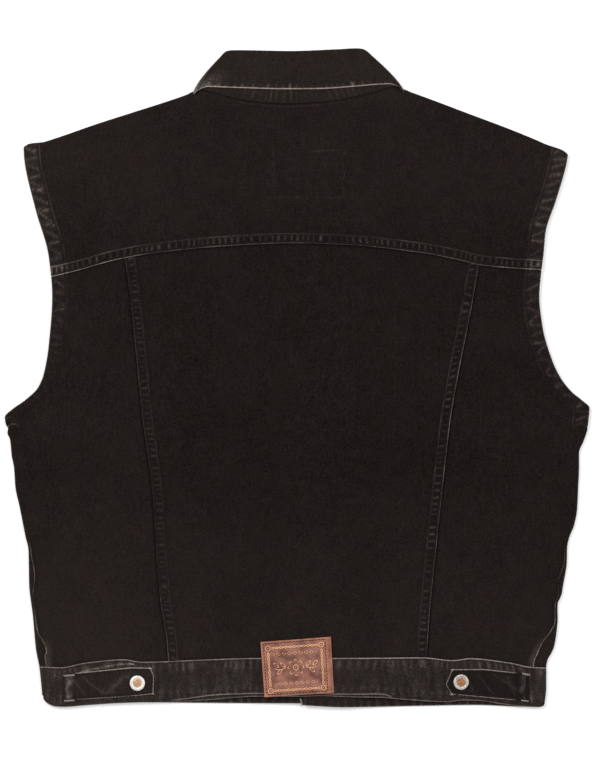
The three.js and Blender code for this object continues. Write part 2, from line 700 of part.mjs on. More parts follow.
// The collar, folded over along its roll. Each section runs from the neck seam up the stand, over the roll and down
// the leaf, at a height above or below the collar's middle plane. Round the sides it turns over from back to front.
function collar() {
  const { middle, standIn, standOut, leafIn, leafOut } = COLLAR;
  const rollOut = (leafOut - standIn) / 2;
  const rollIn = (leafIn - standOut) / 2;
  const overRoll = [-60, -20, 20, 60].map((degrees) => {
    const angle = THREE.MathUtils.degToRad(degrees);
    const bend = (radius, centre) => ({
      beyond: radius * Math.cos(angle),
      height: centre + radius * Math.sin(angle),
    });
    return { on: "leaf", along: 0, outer: bend(rollOut, standIn + rollOut), inner: bend(rollIn, standOut + rollIn) };
  });
  const flat = (on, along, outer, inner) => ({
    on,
    along,
    outer: { beyond: 0, height: outer },
    inner: { beyond: 0, height: inner },
  });
  const section = [
    flat("neck", 1, standIn, standOut),
    flat("neck", 0, standIn, standOut),
    ...overRoll,
    flat("leaf", 0, leafOut, leafIn),
    flat("leaf", 0.5, leafOut, leafIn),
    flat("leaf", 1, leafOut, leafIn),
  ];
  const row = (station, face) =>
    section.map((part) => {
      const { roll: top, leaf, angle, outward } = station;
      const length = Math.hypot(top[0] - leaf[0], top[1] - leaf[1]);
      const { beyond, height } = part[face];
      const [x, y] = between(top, station[part.on], part.along);
      const out = height * Math.sin(angle);
      return [
        x + ((top[0] - leaf[0]) / length) * beyond + outward[0] * out,
        y + ((top[1] - leaf[1]) / length) * beyond + outward[1] * out,
        middle + height * Math.cos(angle),
      ];
    });
  // Square to the side's line from roll to leaf, away from the middle
  const away = ({ roll: a, leaf: b }, sign) => {
    const length = Math.hypot(a[0] - b[0], a[1] - b[1]);
    return [(sign * (a[1] - b[1])) / length, (-sign * (a[0] - b[0])) / length];
  };
  const frontStations = (side, sign) =>
    steps(0, 1, 5).map((t) => {
      const point = (key) => {
        const at = (p) => [sign * p[0], p[1]];
        const [a, b, c] = [at(COLLAR_END[key]), at(COLLAR_MID[key]), side[key]];
        return between(between(a, b, t), between(b, c, t), t);
      };
      return { roll: point("roll"), leaf: point("leaf"), neck: point("neck"), angle: Math.PI, outward: [0, 0] };
    });
  const sideStations = (side, sign, angles) =>
    angles.map((degrees) => ({
      ...side,
      angle: THREE.MathUtils.degToRad(degrees),
      outward: away(side, sign),
    }));
  const { left, right } = COLLAR_SIDE;
  const backStations = steps(0, 1, 10).map((t) => {
    const [rollX, leafX, neckX] = ["roll", "leaf", "neck"].map((key) => lerp(left[key][0], right[key][0], t));
    return {
      roll: [rollX, roll(rollX)],
      leaf: [leafX, leafEdge(leafX)],
      neck: [neckX, yokeTop(neckX) + GAP],
      angle: 0,
      outward: [0, 0],
    };
  });
  const stations = [
    ...frontStations(left, -1),
    ...sideStations(left, -1, [144, 108, 72, 36]),
    ...backStations,
    ...sideStations(right, 1, [36, 72, 108, 144]),
    ...frontStations(right, 1).reverse(),
  ];
  return wall(
    "collar",
    stations.map((station) => row(station, "outer")),
    stations.map((station) => row(station, "inner")),
  );
}

// A piece that lies on the waistband, from named corners
function patch() {
  const rows = steps(0, 1, 5).map((v) =>
    steps(0, 1, 6).map((u) =>
      between(between(PATCH.lowLeft, PATCH.lowRight, u), between(PATCH.highLeft, PATCH.highRight, u), v),
    ),
  );
  const sheet = (lift) => rows.map((row) => row.map(([x, y]) => [x, y, backLow(x, y) + DOUBLE + GAP + lift]));
  return wall("leather_patch", sheet(PATCH.thick), sheet(0), LEATHER);
}

function tab(name, corners) {
  const { rootLow, rootHigh, middleLow, middleHigh, endLow, endHigh, tip } = corners;
  const column = (low, high) => steps(0, 1, 2).map((v) => between(low, high, v));
  const columns = [
    column(rootLow, rootHigh),
    column(between(rootLow, middleLow, 0.5), between(rootHigh, middleHigh, 0.5)),
    column(middleLow, middleHigh),
    [endLow, tip, endHigh],
  ];
  const sheet = (lift) => columns.map((row) => row.map(([x, y]) => [x, y, backLow(x, y) + DOUBLE + GAP + lift]));
  return wall(name, sheet(TAB_THICK), sheet(0));
}

const onTab = (x, y) => backLow(x, y) + DOUBLE + GAP + TAB_THICK + GAP;

// A tack button's ring, with a rounded rim
function tabButton(name, [x, y]) {
  const { radius, rim, well, foot, rimHigh, wellHigh, edgeHigh } = TAB_BUTTON;
  const profile = [
    [well, 0],
    [foot, 0],
    [radius, edgeHigh],
    [radius - 0.2, edgeHigh + 0.9],
    [rim, rimHigh],
    [well + 0.5, rimHigh],
    [well, wellHigh],
    [well, 0],
  ];
  return button(name, profile, 28, x, y, onTab(x, y));
}

// The rivet that shows in the ring's middle, with a shallow dome
function tabRivet(name, [x, y]) {
  const { well, wellHigh } = TAB_BUTTON;
  const radius = well - GAP;
  const profile = [
    [0, 0],
    [radius, 0],
    [radius, wellHigh - 0.4],
    [radius / 2, wellHigh],
    [0, wellHigh + 0.1],
  ];
  return button(name, profile, 24, x, y, onTab(x, y), COPPER);
}

// A front button, seen from below: a plain shallow head with a rounded rim
function frontButton(name, y) {
  const { radius, thick } = FRONT_BUTTON;
  const profile = [
    [0, 0],
    [radius - 1, 0],
    [radius, 0.9],
    [radius - 0.8, thick],
    [0, thick],
  ];
  return button(name, profile, 20, BUTTON_LINE, y, 0);
}

// What is turned from a profile of radius and height
function button(name, profile, sides, x, y, z, finish = METAL) {
  const geometry = new THREE.LatheGeometry(profile.map(([r, height]) => new THREE.Vector2(r, height)), sides);
  geometry.rotateX(Math.PI / 2);
  const mesh = named(name, geometry, finish);
  mesh.position.set(x, y, z);
  return mesh;
}

const vest = new THREE.Group();
vest.name = "denim_vest";
vest.add(front("front_left", "left"), front("front_right", "right"));
vest.add(backYoke(), backMiddle(), backSide("back_panel_left", "left"), backSide("back_panel_right", "right"));
vest.add(waistband(), collar(), patch(), tab("tab_left", LEFT_TAB), tab("tab_right", RIGHT_TAB));
vest.add(tabButton("tab_button_left", TAB_BUTTONS.left), tabButton("tab_button_right", TAB_BUTTONS.right));
vest.add(tabRivet("tab_rivet_left", TAB_BUTTONS.left), tabRivet("tab_rivet_right", TAB_BUTTONS.right));
for (let i = 0; i < FRONT_BUTTON.count; i += 1) {
  vest.add(frontButton(`front_button_${i + 1}`, FRONT_BUTTON.highest - i * FRONT_BUTTON.pitch));
}

export default vest;
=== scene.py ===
"""A denim vest, laid out flat with its back up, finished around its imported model.

Sizes are millimetres until a mesh is made. +X is right as the back is looked at, +Y is towards the collar.
"""

import math

import bpy
import numpy as np
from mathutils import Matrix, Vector
from mathutils.bvhtree import BVHTree


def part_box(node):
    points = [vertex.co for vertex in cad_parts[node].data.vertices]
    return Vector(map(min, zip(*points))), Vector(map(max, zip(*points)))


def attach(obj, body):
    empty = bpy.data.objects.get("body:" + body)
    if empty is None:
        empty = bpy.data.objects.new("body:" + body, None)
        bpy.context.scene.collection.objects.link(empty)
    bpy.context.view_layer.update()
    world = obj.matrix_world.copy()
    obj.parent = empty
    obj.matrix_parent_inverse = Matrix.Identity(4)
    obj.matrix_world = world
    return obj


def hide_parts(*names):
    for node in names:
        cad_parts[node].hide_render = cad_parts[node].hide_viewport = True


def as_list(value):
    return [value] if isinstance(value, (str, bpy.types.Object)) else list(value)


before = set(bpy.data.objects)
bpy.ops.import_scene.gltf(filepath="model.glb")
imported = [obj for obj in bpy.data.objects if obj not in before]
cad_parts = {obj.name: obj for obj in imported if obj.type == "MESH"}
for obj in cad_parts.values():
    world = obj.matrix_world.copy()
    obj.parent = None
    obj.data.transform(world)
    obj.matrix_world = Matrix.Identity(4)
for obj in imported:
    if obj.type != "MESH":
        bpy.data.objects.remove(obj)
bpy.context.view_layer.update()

MM = 0.001
METRE = 1000  # in millimetres

# The photograph's frame, and where the camera looks
PIXEL = 0.95
FRAME_HEIGHT = 765 * PIXEL
EDGE_HEIGHT = 2.5  # of the vest's edges, where the frame is measured
CAMERA_OVER = (2.7, -5.0)

# Cloth and seams
CLOTH = 1.15  # one layer of denim
BAND = 2.0  # the waistband, doubled
TUCK = 3.0  # how far a piece reaches under the one that laps it
SEAM_BAND = 9.6  # width of a felled seam
SEAM_LIFT = 0.95
HEM_BAND = 14.5  # width of the armhole hem
HEM_LIFT = 0.7
HEM_PITCH = 8  # between a hem's creases
HEM_ROW = 1.4  # from the hem's inner edge to its row of stitches
STITCH_ROWS = (1.9, 8.2)  # how far the two rows of a felled seam lie from its edge
WAIST_ROWS = (2.2, 6.4)  # from the waistband's upper edge and from its lower one to their stitches
LEAF_ROW = 6  # from the collar's edge to its stitches
TAB_ROW = 2.1  # from a tab's edge to its stitches
PATCH_ROW = 2.3  # from the patch's edge to its stitches
FOLD_RADIUS = 2.0  # of the fronts' turned sides
HALF_TURN = list(range(12, 180, 12))  # the degrees of a fold's columns, in the waistband and the collar
SOFT_EDGE = 0.3  # how far the cloth's edges stand out past the outline
SHOULDER_ROLL = 2.3  # radius of the turn along the shoulders

# How high the back lies, and the hills that lift the layers: height, reach of the flat top, and foot
BACK_LOW = 2.8
BUTTON_HILL = (2.1, 20, 80)
LEAF_HILL = (2.4, 18, 56)
OVERLAP_HILL = (2.3, 19.5, 43.5)
OPENING_HILL = (4.2, 24, 100)
COLLAR_HILL = (1.7, 12, 76)
NECK_DIP = (198, 240, 0.62)  # from the first y to the second, the opening's hill loses this share

LEFT_FRONT_END = 40
RIGHT_FRONT_END = 5
BUTTON_LINE = 22.5
FACING = 35  # of each front, folded back along its opening
FRONT_INSET = 1.5

HEM_ENDS = (-58, -40)  # an armhole's hem dies away downwards between these y
STRIP_STARTS = (-51, -46)  # here the side panel's edge moves in, and the front's strip comes into view
FRONT_TURNS = (-56, -48)  # here the front's flat side becomes a full turn
INSET_STARTS = (-50, -42)  # above here a front lies a little inside the back's edge
ARMPIT_X = 277  # how far out the hems end
# The folds where a hem ends: y, reach, bulge, and how strongly each shows
ARMPIT_FOLDS = [(-49, 16, 4.6, 0.22), (-58.5, 12, -2.2, 0.1), (-41, 9, 3, 0.1)]

COLLAR_COVERS = (91, 97)  # the collar hides the yoke's edge below the first x, and none of it past the second
LABEL_MIDDLE, LABEL_HALF = (11, 193), (33, 22)

# Outlines, within 3 mm of the solids': (y, x) down the sides and seams, (x, y) along the edges that cross
LEFT_EDGE = [
    (218, -259.6), (208, -259), (160, -248.4), (115, -235.8), (77, -232.4), (31, -235.6),
    (4, -240.2), (-10, -246), (-22, -258.4), (-30, -269.8), (-38, -277.4), (-45, -276.4),
    (-49, -274.2), (-53, -275), (-59, -272.6), (-75, -270.9), (-86, -268.8), (-105, -267.4),
    (-123, -263.5), (-150, -258.2), (-165, -255), (-197, -254.4), (-227, -250.8), (-258, -248),
    (-276, -244.6), (-312, -241),
]
RIGHT_EDGE = [
    (212, 257), (204, 255.8), (168, 245.6), (138, 235.8), (115, 233.6), (100, 231.6), (77, 229.8),
    (47, 233), (16, 242), (0, 249.6), (-14, 260.6), (-22, 270.5), (-29, 277.4), (-40, 276.6),
    (-52, 274.8), (-60, 272.2), (-72, 267.6), (-86, 267.6), (-104, 266.8), (-125, 265.8),
    (-141, 262.8), (-153, 258), (-163, 256.2), (-175, 256), (-198, 252.4), (-206, 251.1),
    (-210, 249.6), (-214.5, 247.4), (-221, 247.1), (-229, 247.3), (-240, 246.5), (-256, 243.9),
    (-262, 241.3), (-269, 237.5), (-276, 236.4), (-294, 236.4), (-312, 234.6),
]
# How far each front comes round onto the back, (y, width) down the side
LEFT_WRAP = [
    (-160, 2.3), (-168, 2.6), (-178, 4.4), (-189, 5.6), (-201, 4.0), (-210, 2.5), (-231, 2.5),
    (-243, 3.7), (-249, 6.8), (-255, 9.4), (-260, 10), (-265, 7.6), (-276, 6.6),
]
RIGHT_WRAP = [
    (-166, 2.3), (-175, 2.6), (-184, 4.2), (-194, 5.4), (-202, 4.0), (-210, 2.5), (-234, 2.8),
    (-240, 5.4), (-245, 8), (-251, 11.8), (-257, 13.6), (-265, 13), (-276, 12.2),
]
YOKE_TOP = [
    (-262, 218.6), (-259.4, 219.8), (-255, 221.8), (-250, 222.6), (-242, 223.4), (-233, 226),
    (-190, 240.8), (-156, 251.7), (-122, 262.5), (-105, 268.4), (-98, 271.4), (-85, 271.6),
    (-67, 267.2), (-45, 263), (-10, 260.2), (34, 263), (56, 267.2), (78, 272), (92, 274),
    (101, 273.4), (109, 270.5), (134, 261.4), (160, 251.6), (203, 235.4), (226, 226), (237, 221.2),
    (246, 218.2), (254, 215), (257.4, 212.6),
]
YOKE_SEAM = [
    (-236, 94.4), (-209, 101), (-173, 111), (-137, 117.5), (-64, 124.6), (-6, 127), (45, 125.5),
    (118, 118), (154, 111), (172, 106.6), (201, 103.6), (236, 101.4),
]
LEFT_SEAM = [
    (115, -164.2), (87, -160), (35, -154.4), (-34, -147.6), (-116, -137), (-174, -133.4),
    (-219, -129.2), (-250, -124), (-272, -122.4),
]
RIGHT_SEAM = [
    (115, 174), (65, 165.5), (5, 153.6), (-40, 145.8), (-98, 139), (-164, 132), (-227, 125.8),
    (-272, 122.8),
]
WAIST_TOP = [
    (-246, -274.6), (-225, -275.4), (-202, -271.2), (-165, -267.8), (-147, -270.2), (-92, -268.2),
    (-35, -266.4), (79, -266.2), (119, -266), (148, -268.6), (164, -266.8), (202, -271),
    (222, -275), (240, -276),
]
WAIST_LOW = [
    (-242, -303), (-240, -307), (-236, -310.4), (-229, -312.6), (-222, -313), (-190, -310.4),
    (-143, -308.6), (-126, -308.2), (-105, -307.8), (-86, -306.8), (-70, -305.4), (-54, -304),
    (-39, -303.2), (6, -303), (22, -302.5), (37, -303), (54, -303.7), (80, -304.2), (98, -305.8),
    (142, -308.4), (158, -306.8), (172, -307.2), (196, -310.6), (218, -312.8), (230, -313.2),
    (237, -311),
]
# How far above its lower edge the waistband's outer layer ends, where the inner one peeps out below it
WAIST_LIP = [
    (-126, 0.8), (-110, 1.9), (-94, 3.4), (-82, 4.2), (-70, 4.0), (-54, 3.1), (-33, 2.7), (0, 2.2),
    (34, 2.1), (53, 2.6), (77, 3.2), (84, 2.8), (88, 1.6), (92, 0.8),
]
NO_LIP, FRONT_LIP = 0.8, 0.9
FRONT_WAIST_TOP = [(-250, -274.2), (-120, -273), (0, -272), (120, -273.4), (244, -274.9)]
LEFT_FRONT_LOW = [
    (-242, -303), (-240, -307), (-236, -310.6), (-229, -313), (-216, -312.6), (-150, -309),
    (-20, -309.8), (45, -309.8),
]
RIGHT_FRONT_LOW = [(0, -311.2), (48, -313.4), (120, -312.2), (170, -311.4), (220, -313.2), (237, -311)]
FRONT_NECKLINE = [(101, 268), (96, 262), (84, 241), (64, 219), (36, 202), (0, 196), (-45, 196)]
LEFT_SHOULDER = [
    (262, 214.6), (250, 219), (240, 221.6), (232, 224.2), (190, 238.4), (142, 253.8), (118, 261.2),
]
RIGHT_SHOULDER = [(260, 208.4), (245, 215.6), (188, 238.6), (129, 260.6)]
NECK_SEAM = [
    (-93, 274.2), (-85, 272.4), (-75, 270), (-67, 267.4), (-45, 263), (-10, 260.2), (34, 263),
    (56, 267.2), (78, 273), (86, 275.4), (93, 276.8),
]
ROLL = [
    (-71, 306), (-69.2, 307.4), (-66.4, 308.5), (-61, 308.9), (-7, 307.8), (41, 309.8), (58, 310.8),
    (63, 310.4), (66.4, 308.9), (68.8, 307),
]
LEAF_EDGE = [
    (-98, 268.2), (-94, 272.2), (-85, 275.4), (-67, 274.8), (-10, 273.2), (20, 273.4), (49, 275.2),
    (78, 277.6), (88, 278), (96, 275.4), (100.6, 269.8),
]

# The collar's middle plane, how far its layers' faces lie from that plane, and its corners
COLLAR_MIDDLE = 4.2
STAND_IN, STAND_OUT = 0.3, 1.9
LEAF_IN, LEAF_OUT = 2.2, 4.1
COLLAR_LEFT = {"roll": (-71, 306), "leaf": (-97.6, 268.6), "neck": (-92, 274.4)}
COLLAR_RIGHT = {"roll": (68.8, 307), "leaf": (100.4, 270), "neck": (92, 277)}
COLLAR_CORNER_TURN = 0.03  # how far the sides' turn bulges where it meets the roll, as a share
COLLAR_END = {"roll": (3, 203), "leaf": (58, 150), "neck": (3, 197)}
COLLAR_MID = {"roll": (50, 240), "leaf": (84, 210), "neck": (58, 216)}
COLLAR_SHOULDER = (100, 271)

# What lies on the waistband
PATCH_THICK = 1.5
PATCH_CORNERS = {"low": ((-31, -303.5), (35, -299.2)), "high": ((-34.9, -251.2), (32, -246.1))}
TAB_THICK = 1.8
TABS = {
    "left": {
        "low": [(-222, -307), (-158, -303), (-136.4, -300.8)],
        "high": [(-222, -281.8), (-158, -275.4), (-139, -275.8)],
        "root": [(-307, -222), (-281.8, -222)],
        "end": [(-300.8, -136.4), (-284, -135.8), (-275.8, -139)],
    },
    "right": {
        "low": [(146.6, -301), (178, -304), (219.6, -307.8)],
        "high": [(147, -277.2), (178, -277), (219.6, -281.6)],
        "root": [(-307.8, 219.6), (-281.6, 219.6)],
        "end": [(-301, 146.6), (-291.6, 141), (-277.2, 147)],
    },
}
BUTTONS = {"left": (-151.6, -290.2), "right": (155.6, -289.2)}
BUTTONS_Y = -289.6  # about the middle of both, where they press the tabs down
BUTTON_TRIM = 0.965  # the rolled metal is a little smaller than its solid

# Soft creases on the back: middle x and y, direction in degrees, length, width and height
CREASES = [
    (-222, -70, 28, 90, 9, 0.5),
    (-206, -96, 18, 70, 12, 0.4),
    (222, -62, -30, 84, 10, 0.5),
    (206, -92, -22, 66, 13, 0.4),
    (-226, -196, 62, 84, 9, 0.7),
    (-212, -240, 38, 60, 11, 0.6),
    (226, -204, -58, 90, 10, 0.7),
    (206, -236, -40, 62, 12, 0.6),
    (-62, -150, 78, 150, 22, 0.35),
    (66, -60, -80, 170, 24, 0.35),
    (-20, 60, 8, 140, 20, 0.3),
    (190, 20, 66, 110, 18, 0.4),
    (-190, 30, -70, 104, 18, 0.4),
    (-150, 196, -38, 120, 20, 0.4),
    (150, 188, 36, 110, 20, 0.4),
    (16, 232, 4, 96, 12, 0.3),
]

# How strongly worn edges show, (y, share): the middle panel's seams, and the side panels below the armholes
LEFT_SEAM_SHOWS = [
    (115, 0.34), (60, 0.4), (10, 0.5), (-60, 0.3), (-190, 0.25), (-225, 0.5), (-265, 0.6),
]
RIGHT_SEAM_SHOWS = [(115, 0.5), (60, 0.62), (-60, 0.75), (-150, 0.6), (-240, 0.62), (-265, 0.5)]
LEFT_SIDE_SHOWS = [
    (-40, 0.05), (-146, 0.08), (-170, 0.4), (-200, 0.36), (-214, 0.16), (-232, 0.5), (-258, 0.46),
    (-272, 0.34),
]
RIGHT_SIDE_SHOWS = [
    (-40, 0.05), (-154, 0.08), (-176, 0.34), (-194, 0.2), (-222, 0.34), (-240, 0.56), (-274, 0.5),
]


def smooth(low, high, value):
    """0 below low, 1 above high, smooth between."""
    t = np.clip((value - low) / (high - low), 0, 1)
    return t * t * (3 - 2 * t)


def fade(low, high, value):
    """1 below low, 0 above high, smooth between."""
    return 1 - smooth(low, high, value)


def line(width, distance):
    """A soft line of some half width."""
    return np.exp(-((distance / width) ** 2))


def noise(x, y=0.0, seed=0):
    """Smooth value noise from -1 to 1, with one feature to each unit."""
    x, y = np.broadcast_arrays(np.asarray(x, float), np.asarray(y, float))
    column, row = np.floor(x), np.floor(y)
    s, t = x - column, y - row
    s, t = s * s * (3 - 2 * s), t * t * (3 - 2 * t)

    def corner(i, j):
        return (np.sin(i * 127.1 + j * 311.7 + seed * 74.7) * 43758.5453) % 1.0

    low = corner(column, row) * (1 - s) + corner(column + 1, row) * s
    high = corner(column, row + 1) * (1 - s) + corner(column + 1, row + 1) * s
    return 2 * (low * (1 - t) + high * t) - 1


def curve(rows):
    """A smooth function through a table's rows that never overshoots them."""
    rows = sorted(rows)
    keys = np.array([row[0] for row in rows], float)
    values = np.array([row[1] for row in rows], float)
    rise = np.diff(values) / np.diff(keys)
    before, after = np.append(rise[:1], rise), np.append(rise, rise[-1:])
    same = before * after > 0
    slope = np.where(same, 2 * before * after / np.where(same, before + after, 1), 0)

    def at(t):
        t = np.clip(t, keys[0], keys[-1])
        i = np.clip(np.searchsorted(keys, t, side="right") - 1, 0, len(keys) - 2)
        width = keys[i + 1] - keys[i]
        s = (t - keys[i]) / width
        rest = 1 - s
        bent = width * s * rest * (slope[i] * rest - slope[i + 1] * s)
        return values[i] * rest * rest * (1 + 2 * s) + values[i + 1] * s * s * (3 - 2 * s) + bent

    return at


def straight(rows):
    """A function that joins a table's rows by straight lines."""
    rows = sorted(rows)
    return lambda t: np.interp(t, [row[0] for row in rows], [row[1] for row in rows])


def other_side(rows):
    return [(-x, y) for x, y in rows]


left_outline, right_outline = curve(LEFT_EDGE), curve(RIGHT_EDGE)
left_wrap, right_wrap = curve(LEFT_WRAP), curve(RIGHT_WRAP)
yoke_top, yoke_seam = curve(YOKE_TOP), curve(YOKE_SEAM)
left_seam, right_seam = curve(LEFT_SEAM), curve(RIGHT_SEAM)
neck_seam = curve(NECK_SEAM)
waist_top, waist_low = curve(WAIST_TOP), curve(WAIST_LOW)
waist_lip = curve(WAIST_LIP)
front_waist_top = curve(FRONT_WAIST_TOP)
left_front_low, right_front_low = curve(LEFT_FRONT_LOW), curve(RIGHT_FRONT_LOW)
left_front_top = curve(other_side(LEFT_SHOULDER) + other_side(FRONT_NECKLINE))
right_front_top = curve(RIGHT_SHOULDER + FRONT_NECKLINE)
roll_edge, leaf_edge = curve(ROLL), curve(LEAF_EDGE)


def left_edge(y):
    return left_outline(y) - SOFT_EDGE


def right_edge(y):
    return right_outline(y) + SOFT_EDGE


def under_waistband(x):
    return waist_top(x) - TUCK


def under_yoke(x):
    return yoke_seam(x) + TUCK


def in_order(is_left, outer, inner):
    """A side piece's outer and inner values as its left and right ones, and the other way round."""
    return (outer, inner) if is_left else (inner, outer)


def hill(shape, distance):
    height, flat, foot = shape
    return height * fade(flat, foot, distance)


def outside_collar(x, y):
    tip_x, tip_y = COLLAR_END["leaf"]
    shoulder_x, shoulder_y = COLLAR_SHOULDER
    side = tip_x + (shoulder_x - tip_x) * (y - tip_y) / (shoulder_y - tip_y)
    return np.maximum(np.abs(x) - side, tip_y - y)


def front_low(x, y):
    """Lower side of the fronts."""
    return np.maximum(hill(BUTTON_HILL, np.abs(x - BUTTON_LINE)), hill(LEAF_HILL, outside_collar(x, y)))


def right_front_low_side(x, y):
    return front_low(x, y) + hill(OVERLAP_HILL, x - BUTTON_LINE)


def creases(x, y):
    """The soft creases that cross the back's seams."""
    total = np.zeros(np.broadcast(x, y).shape)
    for middle_x, middle_y, degrees, length, width, height in CREASES:
        turn = math.radians(degrees)
        along = (x - middle_x) * math.cos(turn) + (y - middle_y) * math.sin(turn)
        across = (y - middle_y) * math.cos(turn) - (x - middle_x) * math.sin(turn)
        bent = across + 0.004 * along * along * math.copysign(1, middle_x)
        total += height * line(width, bent) * fade(0.2, 1, np.abs(along) / (length / 2))
    return total + 0.16 * noise(x / 38, y / 46, 3) + 0.07 * noise(x / 15, y / 19, 4)


def back_low(x, y):
    """Underside of the back, before its creases."""
    low, high, share = NECK_DIP
    opening = hill(OPENING_HILL, np.abs(x - BUTTON_LINE)) * (1 - share * smooth(low, high, y))
    return BACK_LOW + np.maximum(opening, hill(COLLAR_HILL, outside_collar(x, y)))


def back(x, y):
    return back_low(x, y) + creases(x, y)


class Plan:
    """A four-sided piece from above: u runs from its left edge to its right, v from its lower one up."""

    def __init__(self, left, right, lower, upper):
        self.left, self.right, self.lower, self.upper = left, right, lower, upper
        self.low_left, self.low_right = self.corner(left, lower), self.corner(right, lower)
        self.high_left, self.high_right = self.corner(left, upper), self.corner(right, upper)

    @staticmethod
    def corner(side, edge):
        y = edge(side(0))
        for _ in range(30):
            y = edge(side(y))
        return np.array([float(side(y)), float(y)])

    def at(self, u, v):
        low_x = self.low_left[0] + (self.low_right[0] - self.low_left[0]) * u
        high_x = self.high_left[0] + (self.high_right[0] - self.high_left[0]) * u
        left_y = self.low_left[1] + (self.high_left[1] - self.low_left[1]) * v
        right_y = self.low_right[1] + (self.high_right[1] - self.low_right[1]) * v
        x = self.left(left_y) * (1 - u) + self.right(right_y) * u
        y = left_y * (1 - u) + right_y * u
        x = x + low_x * (1 - v) + high_x * v
        y = y + self.lower(low_x) * (1 - v) + self.upper(high_x) * v
        low = [self.low_left[k] * (1 - u) + self.low_right[k] * u for k in (0, 1)]
        high = [self.high_left[k] * (1 - u) + self.high_right[k] * u for k in (0, 1)]
        return x - low[0] * (1 - v) - high[0] * v, y - low[1] * (1 - v) - high[1] * v

    def width(self, v):
        (x0, y0), (x1, y1) = self.at(0.0, v), self.at(1.0, v)
        return np.hypot(x1 - x0, y1 - y0)

    def height(self, u):
        (x0, y0), (x1, y1) = self.at(u, 0.0), self.at(u, 1.0)
        return np.hypot(x1 - x0, y1 - y0)


def marks(band, step=1.0):
    """Distances of the grid lines from an edge, close together at the edge and over a band."""
    close = [0, 0.2, 0.55, 1.0, 1.5, 2.2]
    return np.array(close + list(np.arange(3.0, band + 2.6, step)))


PLAIN = np.array([0, 0.3, 1.0, 2.2])
TUCKED = np.array([0, 1.6, TUCK, TUCK + 0.7, TUCK + 1.6, TUCK + 3, TUCK + 5])


class Spacing:
    """Grid lines across a piece: fixed distances from either edge, and an even spacing between them."""

    def __init__(self, first, last, size, step):
        self.first, self.last = first, last
        self.count = max(2, round((size - first[-1] - last[-1]) / step))

    def at(self, size):
        size = np.asarray(size, float)[..., None]
        share = np.arange(1, self.count) / self.count
        middle = self.first[-1] + (size - self.first[-1] - self.last[-1]) * share
        first = np.broadcast_to(self.first, size.shape[:-1] + self.first.shape)
        return np.concatenate([first, middle, size - self.last[::-1]], axis=-1) / size


class Grid:
    """The points of a piece from above, with their distances from its four edges."""

    def __init__(self, plan, across, along):
        u_middle, v_middle = across.at(plan.width(0.5)), along.at(plan.height(0.5))
        widths, heights = plan.width(v_middle), plan.height(u_middle)
        u, v = across.at(widths), along.at(heights).T
        self.x, self.y = plan.at(u, v)
        self.left, self.right = u * widths[:, None], (1 - u) * widths[:, None]
        self.low, self.high = v * heights, (1 - v) * heights


def round_off(distance, radius):
    """How far a rounded edge has dropped at some distance from it."""
    inside = radius - np.minimum(distance, radius)
    return radius - np.sqrt(np.maximum(radius**2 - inside**2, 0))


def puckers(along, distance, pitch, seed):
    """Ridges across a seam, 0 to 1, uneven in place, lean and size."""
    wander = 0.5 * noise(along / 17, 0, seed)
    lean = 0.045 * distance * noise(along / 26, 0, seed + 1)
    ridge = (0.5 + 0.5 * np.cos(2 * np.pi * (along / pitch + wander + lean))) ** 2.2
    return ridge * (0.66 + 0.34 * noise(along / 8, distance / 16, seed + 2))


def felled(distance, along, seed, pitch, strength, shows):
    """Height, wear and shade of a felled seam's upper layer, from its edge inwards."""
    first, second = STITCH_ROWS
    between = smooth(first - 0.2, first + 1.6, distance) * fade(second - 0.9, second + 0.6, distance)
    ripple = puckers(along, distance, pitch, seed)
    ridge = ripple * between * strength
    band = SEAM_LIFT * fade(SEAM_BAND, SEAM_BAND + 1.8, distance)
    grooves = 0.22 * (line(0.5, distance - first) + line(0.5, distance - second))
    lift = band + 0.4 * ridge - grooves - round_off(distance, 0.6)
    patchy = 0.74 + 0.26 * noise(along / 13, 0, seed + 5)
    worn_edge = 0.56 * line(0.62, distance - 0.35) * shows * patchy
    worn_line = 0.3 * line(0.6, distance - second - 1.1) * (0.4 + 0.6 * shows) * patchy
    dense = 0.7 + 0.3 * noise(along / 19, 0, seed + 7)
    # Painted shade: dark hollows between the puckers, a dark line in the first stitch row's groove, and one
    # just past the band
    hollows = 0.75 * np.maximum(1 - 2.6 * ripple, 0) * between * strength * dense
    beside = 0.3 * line(0.5, distance - first) + 0.2 * line(0.8, distance - SEAM_BAND - 1.6)
    return lift, worn_edge + 0.34 * ridge + worn_line, hollows + beside


